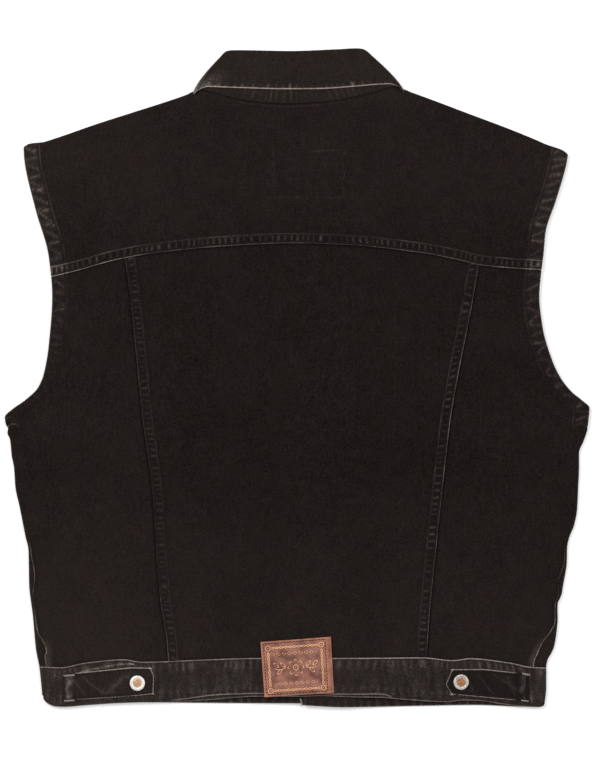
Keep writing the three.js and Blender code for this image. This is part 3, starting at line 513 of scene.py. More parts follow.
def hemmed(distance, along, seed, shows):
    """Height, wear and shade of a turned hem, with slanted creases that meet in zigzags."""
    inside = smooth(0.5, 2.6, distance) * fade(HEM_BAND - 2.4, HEM_BAND - 0.6, distance)
    crest, soft = 0 * distance, 0 * distance
    for k in range(int(along.min() // HEM_PITCH), int(along.max() // HEM_PITCH) + 2):
        place = HEM_PITCH * (k + 0.32 * float(noise(k * 1.37, 0.5, seed)))
        slope = -0.25 + 0.3 * (-1) ** k + 0.55 * float(noise(k * 1.91, 1.5, seed + 1))
        strength = 0.58 + 0.42 * float(noise(k * 2.3, 2.5, seed + 2))
        bow = 1.8 * float(noise(k * 2.9, 3.5, seed + 3)) * np.sin(np.pi * distance / HEM_BAND)
        off = along - place - slope * (distance - HEM_BAND / 2) - bow
        crest = np.maximum(crest, strength * line(0.75, off))
        soft = np.maximum(soft, strength * line(2.9, off))
    band = HEM_LIFT * fade(HEM_BAND, HEM_BAND + 2, distance)
    groove = 0.2 * line(0.5, distance - HEM_BAND + HEM_ROW)
    uneven = 0.14 * noise(along / 6, distance / 5, seed + 4) * inside
    lift = band + 0.7 * soft * inside * shows - groove - round_off(distance, 0.85) + uneven
    broken = 0.66 + 0.34 * noise(along / 4, distance / 4, seed + 5)
    patchy = 0.7 + 0.3 * noise(along / 8, 0, seed + 6)
    worn_edge = 0.2 * line(0.7, distance - 0.2)
    worn_creases = (0.31 * crest * broken + 0.08 * soft) * inside * shows
    worn_band = 0.085 * fade(HEM_BAND - 3, HEM_BAND + 1, distance) * (0.4 + 0.6 * shows)
    worn_line = 0.27 * line(0.6, distance - HEM_BAND - 0.3) * patchy * shows
    # Painted shade in the hollows between the hem's creases
    hollows = (0.36 + 0.3 * noise(along / 5, distance / 4, seed + 7)) * fade(0.05, 0.4, soft)
    return lift, worn_edge + worn_creases + worn_band + worn_line, hollows * inside * shows


def armpit(x, y, sign):
    """Wear and shade of the folds where an armhole's hem ends and the front comes round."""
    from_edge = np.maximum(ARMPIT_X - sign * x, 0)
    wear, shade = 0 * x, 0 * x
    for place, reach, bulge, strength in ARMPIT_FOLDS:
        off = y - place - bulge * np.sin(np.pi * np.minimum(from_edge / reach, 1)) ** 0.8
        shows = strength * fade(reach * 0.55, reach, from_edge)
        wear = wear + shows * line(0.65, off)
        # Painted shade just below each fold
        shade = shade + 2 * shows * line(1.2, off + 1.7)
    return wear, shade


def tucked(distance):
    """How far a piece dips towards the one that laps it."""
    return -0.4 * fade(TUCK - 0.5, TUCK + 5, distance)


def shaded(distance):
    """Painted shade: the dark strip beside a lapping edge, where its shadow falls."""
    return 0.8 * fade(TUCK, TUCK + 2.6, distance)


def link_mesh(name, points, faces):
    """A smooth piece from points in millimetres."""
    mesh = bpy.data.meshes.new(name)
    mesh.from_pydata((points * MM).tolist(), [], faces)
    mesh.shade_smooth()
    piece = bpy.data.objects.new(name, mesh)
    bpy.context.collection.objects.link(piece)
    return piece


def closed_wall(name, outer, inner, attributes):
    """A wall between two grids of points, closed round its rim, with its faces turned outwards."""
    points = np.concatenate([outer.reshape(-1, 3), inner.reshape(-1, 3)])
    faces = shell_faces(*outer.shape[:2])
    first, second, third, fourth = (points[faces[:, k]] for k in range(4))
    volume = (first * (np.cross(second, third) + np.cross(third, fourth))).sum()
    piece = link_mesh(name, points, (faces if volume >= 0 else faces[:, ::-1]).tolist())
    for key, values in attributes.items():
        layer = piece.data.attributes.new(key, "FLOAT", "POINT")
        layer.data.foreach_set("value", np.clip(values, 0, 1).astype(np.float32))
    return piece


def shell_faces(rows, cols):
    """Quads of a closed wall between two grids of points, the outer one first."""
    index = np.arange(rows * cols).reshape(rows, cols)
    quads = np.stack([index[:-1, :-1], index[:-1, 1:], index[1:, 1:], index[1:, :-1]], -1).reshape(-1, 4)
    ring = np.concatenate([index[0, :-1], index[:-1, -1], index[-1, :0:-1], index[:0:-1, 0]])
    following = np.roll(ring, -1)
    count = rows * cols
    rim = np.stack([following, ring, ring + count, following + count], -1)
    return np.concatenate([quads, quads[:, ::-1] + count, rim])


def cloth(name, outer, inner, wear, shade=None, inner_wear=None):
    """A cloth piece between two sheets of points."""
    shade = 0 * wear if shade is None else shade
    inner_wear = 0.25 * wear if inner_wear is None else inner_wear
    x, y = (np.append(outer[..., k], inner[..., k]) for k in (0, 1))
    attributes = {
        "wear": np.append(wear, inner_wear),
        "shade": np.append(shade, shade),
        "faded": fading(x, y),
    }
    return closed_wall(name, outer, inner, attributes)


def fading(x, y):
    """How faded the cloth is over the vest as a whole: least in the middle of the back."""
    low = 0.6 * smooth(-60, -320, y) * (1 + 0.4 * smooth(0, -260, x) - 0.3 * smooth(0, 260, x))
    sides = 0.08 * smooth(60, 250, np.abs(x)) + 0.12 * smooth(0, -260, x)
    high = 0.22 * smooth(110, 200, y) + 0.3 * smooth(255, 275, y)
    return 0.16 + low + sides + high + 0.12 * noise(x / 34, y / 42, 7) + 0.05 * noise(x / 11, y / 13, 9)


def sheet(x, y, z):
    return np.stack(np.broadcast_arrays(x, y, z), -1)


def build_yoke():
    """The back yoke: hemmed armholes, a felled lower edge, and shoulders that roll over to the fronts."""

    def upper(x):
        covered = fade(*COLLAR_COVERS, np.abs(x))
        return (yoke_top(x) - SHOULDER_ROLL) * (1 - covered) + (neck_seam(x) + TUCK) * covered

    plan = Plan(left_edge, right_edge, yoke_seam, upper)
    across = Spacing(marks(HEM_BAND), marks(HEM_BAND), plan.width(0.5), 1.5)
    along = Spacing(marks(SEAM_BAND, 0.9), np.array([0, 1.5, 3.5]), plan.height(0.5), 2.4)
    grid = Grid(plan, across, along)
    x, y = grid.x, grid.y
    neck = fade(*COLLAR_COVERS, np.abs(x))
    seam_shows = 0.7 + 0.3 * np.maximum(smooth(-120, -165, x), smooth(110, 165, x))
    hem_shows = 0.7 + 0.3 * smooth(110, 170, y)
    seam_lift, seam_wear, seam_shade = felled(grid.low, x, 11, 5.9, 0.76, seam_shows)
    left_lift, left_wear, left_shade = hemmed(grid.left, y, 21, hem_shows)
    right_lift, right_wear, right_shade = hemmed(grid.right, y, 31, hem_shows)
    dip = -0.5 * neck * fade(4, 9, grid.high)
    top = back(x, y) + CLOTH + seam_lift + left_lift + right_lift + dip
    hem = fade(HEM_BAND, HEM_BAND + 2, np.minimum(grid.left, grid.right))
    low = top - CLOTH - HEM_LIFT * hem * 0.9
    box = label_box(x, y)
    top = top + 0.18 * box
    neck_line = 0.22 * neck * line(0.6, grid.high - TUCK - 2.4)
    wear = seam_wear + left_wear + right_wear + 0.2 * box + neck_line
    # Painted shadow under the collar's edge, with the seam's and hems' painted shade
    shade = neck * 0.9 * fade(3, 5, grid.high) + seam_shade + left_shade + right_shade
    outer, inner, worn = list(sheet(x, y, top)), list(sheet(x, y, low)), list(wear)
    # The shoulder edge turns down in a quarter circle and then hangs over the front's edge
    edge_x, edge_y = x[-1], y[-1] + SHOULDER_ROLL
    roll = 1 - neck[-1]
    corner = 1.4 * (line(4, grid.left[-1]) - line(4, grid.right[-1]))
    for degrees in (12, 28, 44, 60, 76, 90):
        turn = math.radians(degrees)
        drop = 1 - math.cos(turn)
        row_x, row_y = edge_x + corner * drop, edge_y - SHOULDER_ROLL * (1 - math.sin(turn))
        outer.append(sheet(row_x, row_y, top[-1] - SHOULDER_ROLL * drop * roll))
        inner_low = low[-1] - (SHOULDER_ROLL - CLOTH) * drop * roll
        inner.append(sheet(row_x, row_y - CLOTH * math.sin(turn) * roll, inner_low))
        worn.append(wear[-1] * 0.7 + 0.22 * roll * smooth(20, 80, degrees))
    hang = np.where(roll > 0.5, np.maximum(top[-1] - SHOULDER_ROLL - 0.7, 0.8), top[-1])
    outer.append(sheet(edge_x + corner, edge_y, hang))
    inner.append(sheet(edge_x + corner, edge_y - CLOTH * roll, np.where(roll > 0.5, hang, low[-1])))
    worn.append(wear[-1] * 0.4)
    shade = np.pad(shade, ((0, len(worn) - len(shade)), (0, 0)))
    return cloth("yoke_cloth", np.stack(outer), np.stack(inner), np.stack(worn), shade)


def label_box(x, y):
    """The faint stitched box that a label sewn inside leaves on the yoke."""
    across, up = (np.abs(value - middle) for value, middle in zip((x, y), LABEL_MIDDLE))
    edges = np.maximum(across - LABEL_HALF[0], up - LABEL_HALF[1])
    dotted = 0.62 + 0.38 * np.sin((x + y) * 1.9)
    return line(1.3, edges) * dotted * (0.72 + 0.28 * noise(x / 9, y / 9, 8))


def build_middle():
    """The middle back panel, with a felled seam along either side."""
    plan = Plan(left_seam, right_seam, under_waistband, under_yoke)
    across = Spacing(marks(SEAM_BAND), marks(SEAM_BAND), plan.width(0.5), 3.2)
    along = Spacing(TUCKED, TUCKED, plan.height(0.5), 1.5)
    grid = Grid(plan, across, along)
    x, y = grid.x, grid.y
    left_shows, right_shows = curve(LEFT_SEAM_SHOWS)(y), curve(RIGHT_SEAM_SHOWS)(y)
    left_lift, left_wear, left_shade = felled(grid.left, y, 41, 5.3, 0.6, left_shows)
    right_lift, right_wear, right_shade = felled(grid.right, y, 51, 6.3, 0.72, right_shows)
    top = back(x, y) + CLOTH + left_lift + right_lift + tucked(grid.low) + tucked(grid.high)
    # Painted shadow under the yoke's and the waistband's lapping edges, with the seams' painted shade
    beside_yoke = shaded(grid.high) + 0.35 * line(1.0, grid.high - TUCK - 0.4)
    shade = np.maximum.reduce([beside_yoke, 0.6 * shaded(grid.low), left_shade + right_shade])
    outer, inner = sheet(x, y, top), sheet(x, y, top - CLOTH)
    return cloth("middle_panel_cloth", outer, inner, left_wear + right_wear, shade)


def build_side(side):
    """A side back panel: hemmed along the armhole, and sewn to the front's turned edge below it."""
    is_left = side == "left"
    inward = 1 if is_left else -1
    edge, wrap = (left_edge, left_wrap) if is_left else (right_edge, right_wrap)
    panel_seam = left_seam if is_left else right_seam

    def outer_edge(y):
        return edge(y) + inward * (wrap(y) - 0.6) * fade(*STRIP_STARTS, y)

    def inner_edge(y):
        return panel_seam(y) + inward * TUCK

    plan = Plan(*in_order(is_left, outer_edge, inner_edge), under_waistband, under_yoke)
    across = Spacing(*in_order(is_left, marks(HEM_BAND), TUCKED), plan.width(0.5), 2.8)
    along = Spacing(TUCKED, TUCKED, plan.height(0.5), 1.25)
    grid = Grid(plan, across, along)
    x, y = grid.x, grid.y
    outside, inside = in_order(is_left, grid.left, grid.right)
    armhole = smooth(*HEM_ENDS, y)
    upwards = smooth(10, 90, y)
    hem_shows = 0.3 + 0.34 * upwards if is_left else 0.62 + 0.06 * upwards
    hem_lift, hem_wear, hem_shade = hemmed(outside, y, 61 if is_left else 71, hem_shows)
    seam_lift = 0.5 * fade(1.5, 4, outside) - round_off(outside, 0.7)
    edge_shows = curve(LEFT_SIDE_SHOWS if is_left else RIGHT_SIDE_SHOWS)(y)
    edge_shows = edge_shows * (0.75 + 0.25 * noise(y / 7, 0, 66)) * (1 - armhole)
    fold_wear, fold_shade = armpit(x, y, -inward)
    fold_wear = fold_wear * (1 if is_left else 0.55)
    fold_wear = fold_wear + 0.17 * smooth(-232, -262, y) * line(3.2, outside - 3.4)
    wear = hem_wear * armhole + edge_shows * line(0.75, outside - 0.4) + fold_wear
    lift = hem_lift * armhole + seam_lift * (1 - armhole) + 1.6 * fold_wear - 0.5 * fold_shade
    top = back(x, y) + CLOTH + lift + tucked(inside) + tucked(grid.low) + tucked(grid.high)
    low = top - CLOTH - 0.6 * armhole * fade(HEM_BAND, HEM_BAND + 2, outside)
    # Painted shade beside the lapping seam, the waistband and the yoke, and a painted shadow along the
    # front's turned edge
    beside_seam = 0.7 * shaded(inside) + 0.5 * line(0.9, inside - TUCK - 0.6)
    beside_strip = 1.1 * edge_shows * line(1.4, outside - 2.9)
    seam_shade = np.maximum(0.6 * shaded(grid.low), beside_seam) + beside_strip
    shade = np.maximum.reduce([shaded(grid.high), seam_shade, hem_shade * armhole, fold_shade])
    return cloth(f"{side}_panel_cloth", sheet(x, y, top), sheet(x, y, low), wear, shade)


def build_front(side):
    """A front: flat on the surface, its side turned up and round onto the back below the armhole."""
    is_left = side == "left"
    outward = -1 if is_left else 1
    edge, wrap = (left_edge, left_wrap) if is_left else (right_edge, right_wrap)
    under = front_low if is_left else right_front_low_side
    top_edge = left_front_top if is_left else right_front_top
    opening_x = LEFT_FRONT_END if is_left else RIGHT_FRONT_END
    turn_length = math.pi * FOLD_RADIUS
    steps = np.linspace(0.1, 1, 10) * turn_length

    def turned(distance, y):
        """How far out and how high a point of the turned strip lies, and its angle."""
        radius = FOLD_RADIUS / np.maximum(fade(*FRONT_TURNS, y), 1e-4)
        angle = np.minimum(distance, turn_length) / radius
        rest = np.maximum(distance - turn_length, 0)
        out = radius * np.sin(angle) + rest * np.cos(angle)
        return out, radius * (1 - np.cos(angle)) + rest * np.sin(angle), angle

    def fold_line(y):
        reach = np.max([turned(distance, y)[0] for distance in steps], axis=0)
        return edge(y) - outward * (reach + FRONT_INSET * smooth(*INSET_STARTS, y))

    plan = Plan(
        *in_order(is_left, fold_line, lambda y: opening_x + 0 * np.asarray(y, float)),
        lambda x: front_waist_top(x) - 1,
        lambda x: top_edge(x) - 0.3,
    )
    across = Spacing(*in_order(is_left, PLAIN, marks(FACING, 4)), plan.width(0.5), 6)
    along = Spacing(PLAIN, PLAIN, plan.height(0.5), 1.9)
    grid = Grid(plan, across, along)
    x, y = grid.x, grid.y
    opening = grid.right if is_left else grid.left
    low = under(x, y) + 0.05 * (1 + noise(x / 20, y / 24, 5)) + 0.7 * np.maximum(creases(x, y) - 0.1, 0)
    thick = CLOTH + 0.8 * fade(FACING - 1, FACING + 1.5, opening)
    side_column = 0 if is_left else -1
    start_x, row_y, start_low = x[:, side_column], y[:, side_column], low[:, side_column]
    turns_out, turns_in = [], []
    for distance in [*steps, turn_length + np.maximum(wrap(row_y) - FOLD_RADIUS, 0) + 0.01]:
        out, up, angle = turned(distance, row_y)
        turns_out.append(sheet(start_x + outward * out, row_y, start_low + up))
        inner_x = start_x + outward * (out - CLOTH * np.sin(angle))
        turns_in.append(sheet(inner_x, row_y, start_low + up + CLOTH * np.cos(angle)))
    turn_wear = 0.4 * line(2.0, np.append(steps, turn_length + 3) - turn_length / 2)
    turn_wear = turn_wear * (0.75 + 0.25 * noise(row_y / 8, 0, 6))[:, None]
    flat_wear = 0.45 * line(0.6, opening - 0.3) + 0.12 * line(0.9, opening - FACING)
    flat_wear = flat_wear * (0.8 + 0.2 * noise(y / 9, 0, 10))

    def joined(flat, turns):
        return np.concatenate([turns[:, ::-1], flat] if is_left else [flat, turns], 1)

    outer = joined(sheet(x, y, low), np.stack(turns_out, 1))
    inner = joined(sheet(x, y, low + thick), np.stack(turns_in, 1))
    return cloth(f"front_{side}_cloth", outer, inner, joined(flat_wear, turn_wear))


def build_waistband():
    """The waistband: one doubled strip from the left front's end round the back to the right front's end."""
    outer, inner, wear, shade = [], [], [], []
    radius = (BACK_LOW + BAND) / 2
    near_top = np.array([2.2, 1.3, 0.7, 0.3, 0])
    lip_shares = np.array([0, 0.08, 0.2, 0.45, 0.7, 0.85, 1.0])

    def column(x, low, lip, top, place, marks_on):
        """A column of points: the inner layer's lip, the outer one's edge, then even steps to the top."""
        low, top = float(low), float(top)
        close = low + lip + np.array([0.4, 0.9, 1.6])
        even = np.linspace(close[-1], top - near_top[0], 32)[1:-1]
        y = np.concatenate([low + lip * lip_shares, close, even, top - near_top])
        from_low = y - low
        for points, sheet_points in zip((outer, inner), place(x, y)):
            points.append(sheet_points)
        wear.append(marks_on(x, from_low, lip, top - y))
        # Painted shadow under the outer layer's edge, where the inner layer's lip shows
        shade.append(0.95 * line(0.8, from_low - lip + 0.75) * float(smooth(1.0, 2.0, lip)))

    def lip_at(x):
        return float(waist_lip(x)) if WAIST_LIP[0][0] < x < WAIST_LIP[-1][0] else NO_LIP

    def profile(from_low, lip, from_top):
        has_lip = float(smooth(1.0, 1.8, lip))
        step = -0.75 * has_lip * fade(lip - 0.15, lip + 0.35, from_low)
        return step - round_off(from_low, 0.7) - round_off(from_top, 0.7)

    def waves(x, from_low, from_top):
        ridge = puckers(x + 0 * from_low, from_low, 7.5, 81)
        upper = smooth(0.8, 3, from_top) * fade(7, 14, from_top)
        lower = smooth(3, 5, from_low) * fade(8, 14, from_low)
        return ridge * (upper + 0.8 * lower)

    def front_ripple(x, from_low):
        return puckers(x + 0 * from_low, from_low, 8, 84) * fade(4, 12, from_low)

    def back_marks(x, from_low, lip, from_top):
        patchy = 0.85 + 0.15 * noise(x / 9, 0, 82)
        upper = 0.5 + 0.22 * smooth(-160, 160, x)
        middle = smooth(-130, -100, x) * fade(86, 104, x)
        right = smooth(86, 104, x) * fade(212, 224, x)
        lower = 0.16 + 0.34 * middle + 0.34 * right
        edges = line(0.45, from_top - 0.35) * upper + line(0.45, from_low - 0.25) * lower
        edges = edges + 0.62 * line(0.45, from_low - lip - 0.3) * smooth(1.0, 1.8, lip)
        scuff = 0.15 * waves(x, from_low, from_top) + 0.105 + 0.04 * noise(x / 4, from_low / 14, 83)
        return edges * patchy + scuff + tab_crease(x, from_top)

    def front_marks(x, from_low, lip, from_top):
        return 0.05 + 0.16 * line(0.7, from_low - 0.3) + 0.16 * front_ripple(x, from_low)

    def fold_marks(x, from_low, lip, from_top):
        return 0.16 + 0.4 * line(0.6, from_top - 0.3)

    def on_back(x, y):
        low, lip, top = float(waist_low(x)), lip_at(x), float(waist_top(x))
        lift = profile(y - low, lip, top - y) + 0.3 * waves(x, y - low, top - y)
        base = back(x, y)
        under = base + 0.2 + 0.8 * fade(4, 6, top - y)
        return sheet(x, y, base + BAND + 0.1 + lift), sheet(x, y, np.minimum(under, base + BAND + lift - 0.3))

    def on_front(under, low_at):
        def place(x, y):
            low, top = float(low_at(x)), float(front_waist_top(x))
            soft = round_off(y - low, 0.9) + round_off(top - y, 0.7)
            base = under(x, y)
            high = base + BAND - soft + 0.2 * front_ripple(x, y - low)
            return sheet(x, y, base + soft), sheet(x, y, high)

        return place

    def fold(edge, outward, angles, x, rise):
        """The half turn at a side, from the front's height to the back's or the other way."""
        low, top = float(waist_low(x)), float(waist_top(x))
        for degrees in angles:
            sine, cosine = math.sin(math.radians(degrees)), math.cos(math.radians(degrees))

            def place(_, y, sine=sine, cosine=cosine):
                squash = round_off(y - low, 1.0) + round_off(top - y, 0.8)
                centre = edge(y) - outward * radius
                radii = (radius - squash * 0.6, radius - BAND + squash * 0.3)
                return [sheet(centre + outward * r * sine, y, radius - r * cosine) for r in radii]

            column(0, low + rise * sine, NO_LIP, top, place, fold_marks)

    def front_columns(places, under, low_at):
        place = on_front(under, low_at)
        for x in places:
            column(x, low_at(x), FRONT_LIP, front_waist_top(x), place, front_marks)

    middle_y = -290
    left_x, right_x = float(left_edge(middle_y)) + radius, float(right_edge(middle_y)) - radius
    front_columns(np.linspace(LEFT_FRONT_END, left_x, 116)[:-1], front_low, left_front_low)
    fold(left_edge, -1, HALF_TURN, left_x, 4.0)
    for x in np.linspace(left_x, right_x, 400):
        column(x, waist_low(x), lip_at(x), waist_top(x), on_back, back_marks)
    fold(right_edge, 1, HALF_TURN[::-1], right_x, 1.5)
    front_columns(np.linspace(right_x, RIGHT_FRONT_END, 96)[1:], right_front_low_side, right_front_low)
    wear = np.stack(wear)
    return cloth("waistband_cloth", np.stack(outer), np.stack(inner), wear, np.stack(shade), wear)


def tab_crease(x, from_top):
    """The worn crease that runs over the waistband just above the left tab."""
    if not -207 < x < -154:
        return 0 * from_top
    place = 8.4 - 4.9 * (x + 206) / 50
    return (0.3 + 0.16 * smooth(-168, -156, x)) * line(0.6, from_top - place)


def build_collar():
    """The collar, folded over along its roll: stand, roll and leaf, all the way round the neck."""
    keys = ("roll", "leaf", "neck")
    roll_out, roll_in = (LEAF_OUT - STAND_IN) / 2, (LEAF_IN - STAND_OUT) / 2

    def front_stations(side, sign, shares):
        """Across a front half: the places of roll, leaf and neck edge, the turn, and the way outwards."""
        for t in shares:
            spots = {}
            for key in keys:
                a, b = (np.array(end[key], float) * (sign, 1) for end in (COLLAR_END, COLLAR_MID))
                c = np.array(side[key], float)
                spots[key] = (a * (1 - t) + b * t) * (1 - t) + (b * (1 - t) + c * t) * t
            yield spots, math.pi, np.zeros(2)

    def back_stations(count):
        for t in np.linspace(0, 1, count):
            x = {key: COLLAR_LEFT[key][0] * (1 - t) + COLLAR_RIGHT[key][0] * t for key in keys}
            y = roll_edge(x["roll"]), leaf_edge(x["leaf"]), neck_seam(x["neck"]) - 0.2
            yield {key: np.array([x[key], float(at)]) for key, at in zip(keys, y)}, 0.0, np.zeros(2)

    def side_stations(side, sign, angles):
        spots = {key: np.array(side[key], float) for key in keys}
        along = spots["roll"] - spots["leaf"]
        outward = sign * np.array([along[1], -along[0]]) / np.hypot(*along)
        for degrees in angles:
            yield spots, math.radians(degrees), outward

    stations = [
        *front_stations(COLLAR_LEFT, -1, np.linspace(0, 1, 34)),
        *side_stations(COLLAR_LEFT, -1, HALF_TURN[::-1]),
        *back_stations(150),
        *side_stations(COLLAR_RIGHT, 1, HALF_TURN),
        *front_stations(COLLAR_RIGHT, 1, np.linspace(1, 0, 34)),
    ]
    stand_along = np.concatenate([1 - np.array([0, 0.01, 0.03, 0.06, 0.1]), np.linspace(0.86, 0, 10)])
    near_edge = [0.85, 0.89, 0.92, 0.945, 0.965, 0.982, 0.993, 1.0]
    leaf_along = np.concatenate([np.linspace(0, 0.8, 11), near_edge])
    roll_angles = np.radians([-75, -50, -25, 0, 25, 50, 75])
    outer, inner, wear, under_wear = [], [], [], []
    travelled, last = 0.0, None
    for spots, turn, outward in stations:
        top, leaf, neck = (spots[key] for key in keys)
        travelled += 0 if last is None else float(np.hypot(*(leaf - last)))
        last = leaf
        length, stand_length = float(np.hypot(*(top - leaf))), float(np.hypot(*(top - neck)))
        past = (top - leaf) / length

        def place(base, beyond, height):
            share = np.clip(((base - leaf) @ past) / length, 0, 1)[:, None]
            way = outward * (1 - (1 - COLLAR_CORNER_TURN) * share**2) * (1 - 0.55 * (1 - share) ** 6)
            xy = base + past * np.atleast_1d(beyond)[:, None] + way * (height * math.sin(turn))[:, None]
            return np.column_stack([xy, COLLAR_MIDDLE + height * math.cos(turn)])

        def face(stand_height, roll_radius, roll_foot, leaf_height):
            """One side of the wall, from the stand's neck edge over the roll to the leaf's edge."""
            roll_height = roll_foot + roll_radius * (1 + np.sin(roll_angles))
            return np.concatenate([
                place(top + (neck - top) * stand_along[:, None], 0 * stand_along, stand_height),
                place(np.tile(top, (7, 1)), roll_radius * np.cos(roll_angles), roll_height),
                place(top + (leaf - top) * leaf_along[:, None], 0 * leaf_along, leaf_height),
            ])

        from_edge, from_neck = (1 - leaf_along) * length, (1 - stand_along) * stand_length
        some = 0.55 + 0.45 * noise(travelled / 11, 0, 95)
        ridge = puckers(travelled, from_edge, 7, 92) * some
        ridge = ridge * smooth(0.8, 2, from_edge) * fade(3, 8, from_edge)
        stand_ridge = puckers(travelled, from_neck, 6.4, 93)
        stand_ridge = stand_ridge * smooth(0.5, 2, from_neck) * fade(10, 15, from_neck)
        soft = 0.25 * float(noise(travelled / 26, 0, 91)) * np.sin(np.pi * leaf_along)
        rounded = round_off(from_edge, 0.85)
        leaf_height = LEAF_OUT - rounded + 0.3 * ridge - 0.06 * line(0.6, from_edge - LEAF_ROW) + soft
        stand_height = np.minimum(STAND_OUT - round_off(from_neck, 0.6) + 0.12 * stand_ridge, 2.0)
        outer.append(face(STAND_IN + 0 * stand_along, roll_out, STAND_IN, leaf_height))
        inner.append(face(stand_height, roll_in, STAND_OUT, LEAF_IN + 0.4 * rounded))
        patchy = 0.9 + 0.1 * float(noise(travelled / 8, 0, 94))
        at_side = 0.14 * math.sin(turn) if turn < math.pi else 0.0
        worn_edge = 0.95 * (1 - 0.8 * smooth(93, 100, abs(leaf[0]))) * patchy * line(0.75, from_edge - 0.3)
        leaf_wear = 0.02 + worn_edge + 0.38 * ridge + at_side
        if turn < math.pi:
            leaf_wear = leaf_wear + 0.19 * smooth(-60, -90, leaf[0]) * fade(4, 28, from_edge)
        roll_wear = 0.05 + 0.1 * np.cos(roll_angles) ** 4 + at_side
        wear.append(np.concatenate([0 * stand_along, roll_wear, leaf_wear]))
        under_wear.append(0.02 + 0.12 * line(0.5, from_neck - 0.2) + 0.26 * some * stand_ridge)
    # The stand's upper side is the wall's inner sheet, so its worn neck edge and puckers are set there
    wear, inner_wear = np.stack(wear), 0.25 * np.stack(wear)
    inner_wear[:, : len(stand_along)] = np.stack(under_wear)
    return cloth("collar_cloth", np.stack(outer), np.stack(inner), wear, inner_wear=inner_wear)


def build_tab(side):
    """An adjuster tab, doubled, with worn edges and faint creases."""
    is_left, shape = side == "left", TABS[side]
    seed = 111 if is_left else 121
    root, end, low_edge, high_edge = (straight(shape[key]) for key in ("root", "end", "low", "high"))
    plan = Plan(*in_order(is_left, root, end), low_edge, high_edge)
    edge = marks(3, 0.8)
    across = Spacing(edge, edge, plan.width(0.5), 0.9)
    along = Spacing(edge, edge, plan.height(0.5), 0.9)
    grid = Grid(plan, across, along)
    x, y = grid.x, grid.y
    nearest = np.minimum.reduce([grid.left, grid.right, grid.low, grid.high])
    root_side, end_side = in_order(is_left, grid.left, grid.right)
    crease = (1 - np.abs(noise((x + 0.9 * y) / 15, (y - 0.4 * x) / 34, seed))) ** 6 * smooth(2, 5, nearest)
    from_button = np.hypot(x - BUTTONS[side][0], y - BUTTONS_Y)
    lift = 0.3 * crease - round_off(nearest, 0.85) - 0.2 * line(0.5, nearest - TAB_ROW)
    lift = lift - 0.35 * line(5.5, from_button) + 0.12 * noise(x / 9, y / 7, seed + 1)
    base = back(x, y) + BAND + 0.3
    long_edges = line(0.6, np.minimum(grid.low, grid.high) - 0.25) * smooth(8, 16, root_side)
    corner = line(1.6, np.hypot(end_side, grid.high)) + line(1.6, np.hypot(end_side, grid.low))
    worn_edges = 0.62 * long_edges + 0.56 * line(0.65, end_side - 0.25) + 0.6 * corner
    rubbed = 0.5 + 0.5 * noise(x / 3, y / 5, seed + 2)
    worn_root = (0.44 if is_left else 0.26) * rubbed * line(3.4, root_side - 5.5) * smooth(0.5, 2, nearest)
    wear = (0.05 if is_left else 0) + worn_edges + 0.14 * crease + worn_root
    # Shade: the right tab darker all over, and painted shade in the crease near the root and in the stitches'
    # groove
    shade = (0 if is_left else 0.26) + 0.6 * line(0.8, root_side - 11) + 0.5 * line(0.6, nearest - 1.9)
    low = base + 0.3 * round_off(nearest, 0.85)
    return cloth(f"tab_cloth_{side}", sheet(x, y, base + TAB_THICK + lift), sheet(x, y, low), wear, shade)


def patch_pattern(s, t, width, height):
    """The patch's tooling, in its own millimetres: a rope border, a rosette between leaves, and lozenges."""
    margin_left, margin_right, margin_low, margin_high = 6.5, 9.5, 5.5, 6.5
    centre_s = (margin_left + width - margin_right) / 2
    centre_t = (margin_low + height - margin_high) / 2
    half_s, half_t = centre_s - margin_left, centre_t - margin_low
    ds, dt = s - centre_s, t - centre_t
    # Rope border: two strands that cross along each side
    to_side = np.maximum(np.abs(ds) - half_s, np.abs(dt) - half_t)
    run = np.where(np.abs(ds) - half_s > np.abs(dt) - half_t, t, s)
    strand = 0.85 * np.sin(2 * np.pi * run / 8.4)
    rope = np.maximum(line(0.55, to_side - strand), line(0.55, to_side + strand))
    # Corner studs
    corner = np.hypot(np.abs(ds) - half_s, np.abs(dt) - half_t)
    rope = np.where(corner < 3.4, 0, rope)
    studs = np.maximum(line(0.6, corner - 2.3), line(0.9, corner))
    # Rosette of eight petals
    radius, angle = np.hypot(ds, dt - 0.5), np.arctan2(dt - 0.5, ds)
    petal = 4.2 + 3.4 * np.abs(np.cos(4 * angle))
    rosette = np.maximum.reduce([line(0.6, radius - petal), line(0.55, radius - 2.4), line(0.8, radius)])
    # A stem with paired leaves on either side
    reach = np.abs(ds)
    stem = line(0.5, dt - 0.5 - 1.2 * np.sin(reach / 3.2))
    stem = stem * smooth(9, 10, reach) * fade(20, 21, reach)
    leaves = np.zeros(np.shape(s))
    for place, lean in ((12, 1), (15.4, -1), (18.4, 1)):
        along = (reach - place) * 0.72 + (dt - 0.5 - 3.2 * lean) * 0.7 * lean
        across = (dt - 0.5 - 3.2 * lean) * 0.72 - (reach - place) * 0.7 * lean
        size = np.sqrt((along / 2.8) ** 2 + (across / 1.25) ** 2)
        leaves = np.maximum(leaves, line(0.28, size - 1))
    # Lozenges in a row above and a row below
    rows = np.zeros(np.shape(s))
    for place in (half_t - 6.2, -half_t + 6.2):
        step = (ds + 2.6) % 5.2 - 2.6
        lozenge = np.abs(step) / 1.9 + np.abs(dt - place) / 1.5
        rows = np.maximum(rows, line(0.3, lozenge - 1) * (np.abs(ds) < half_s - 5))
    return np.maximum.reduce([rope, studs, rosette, stem, leaves, rows])


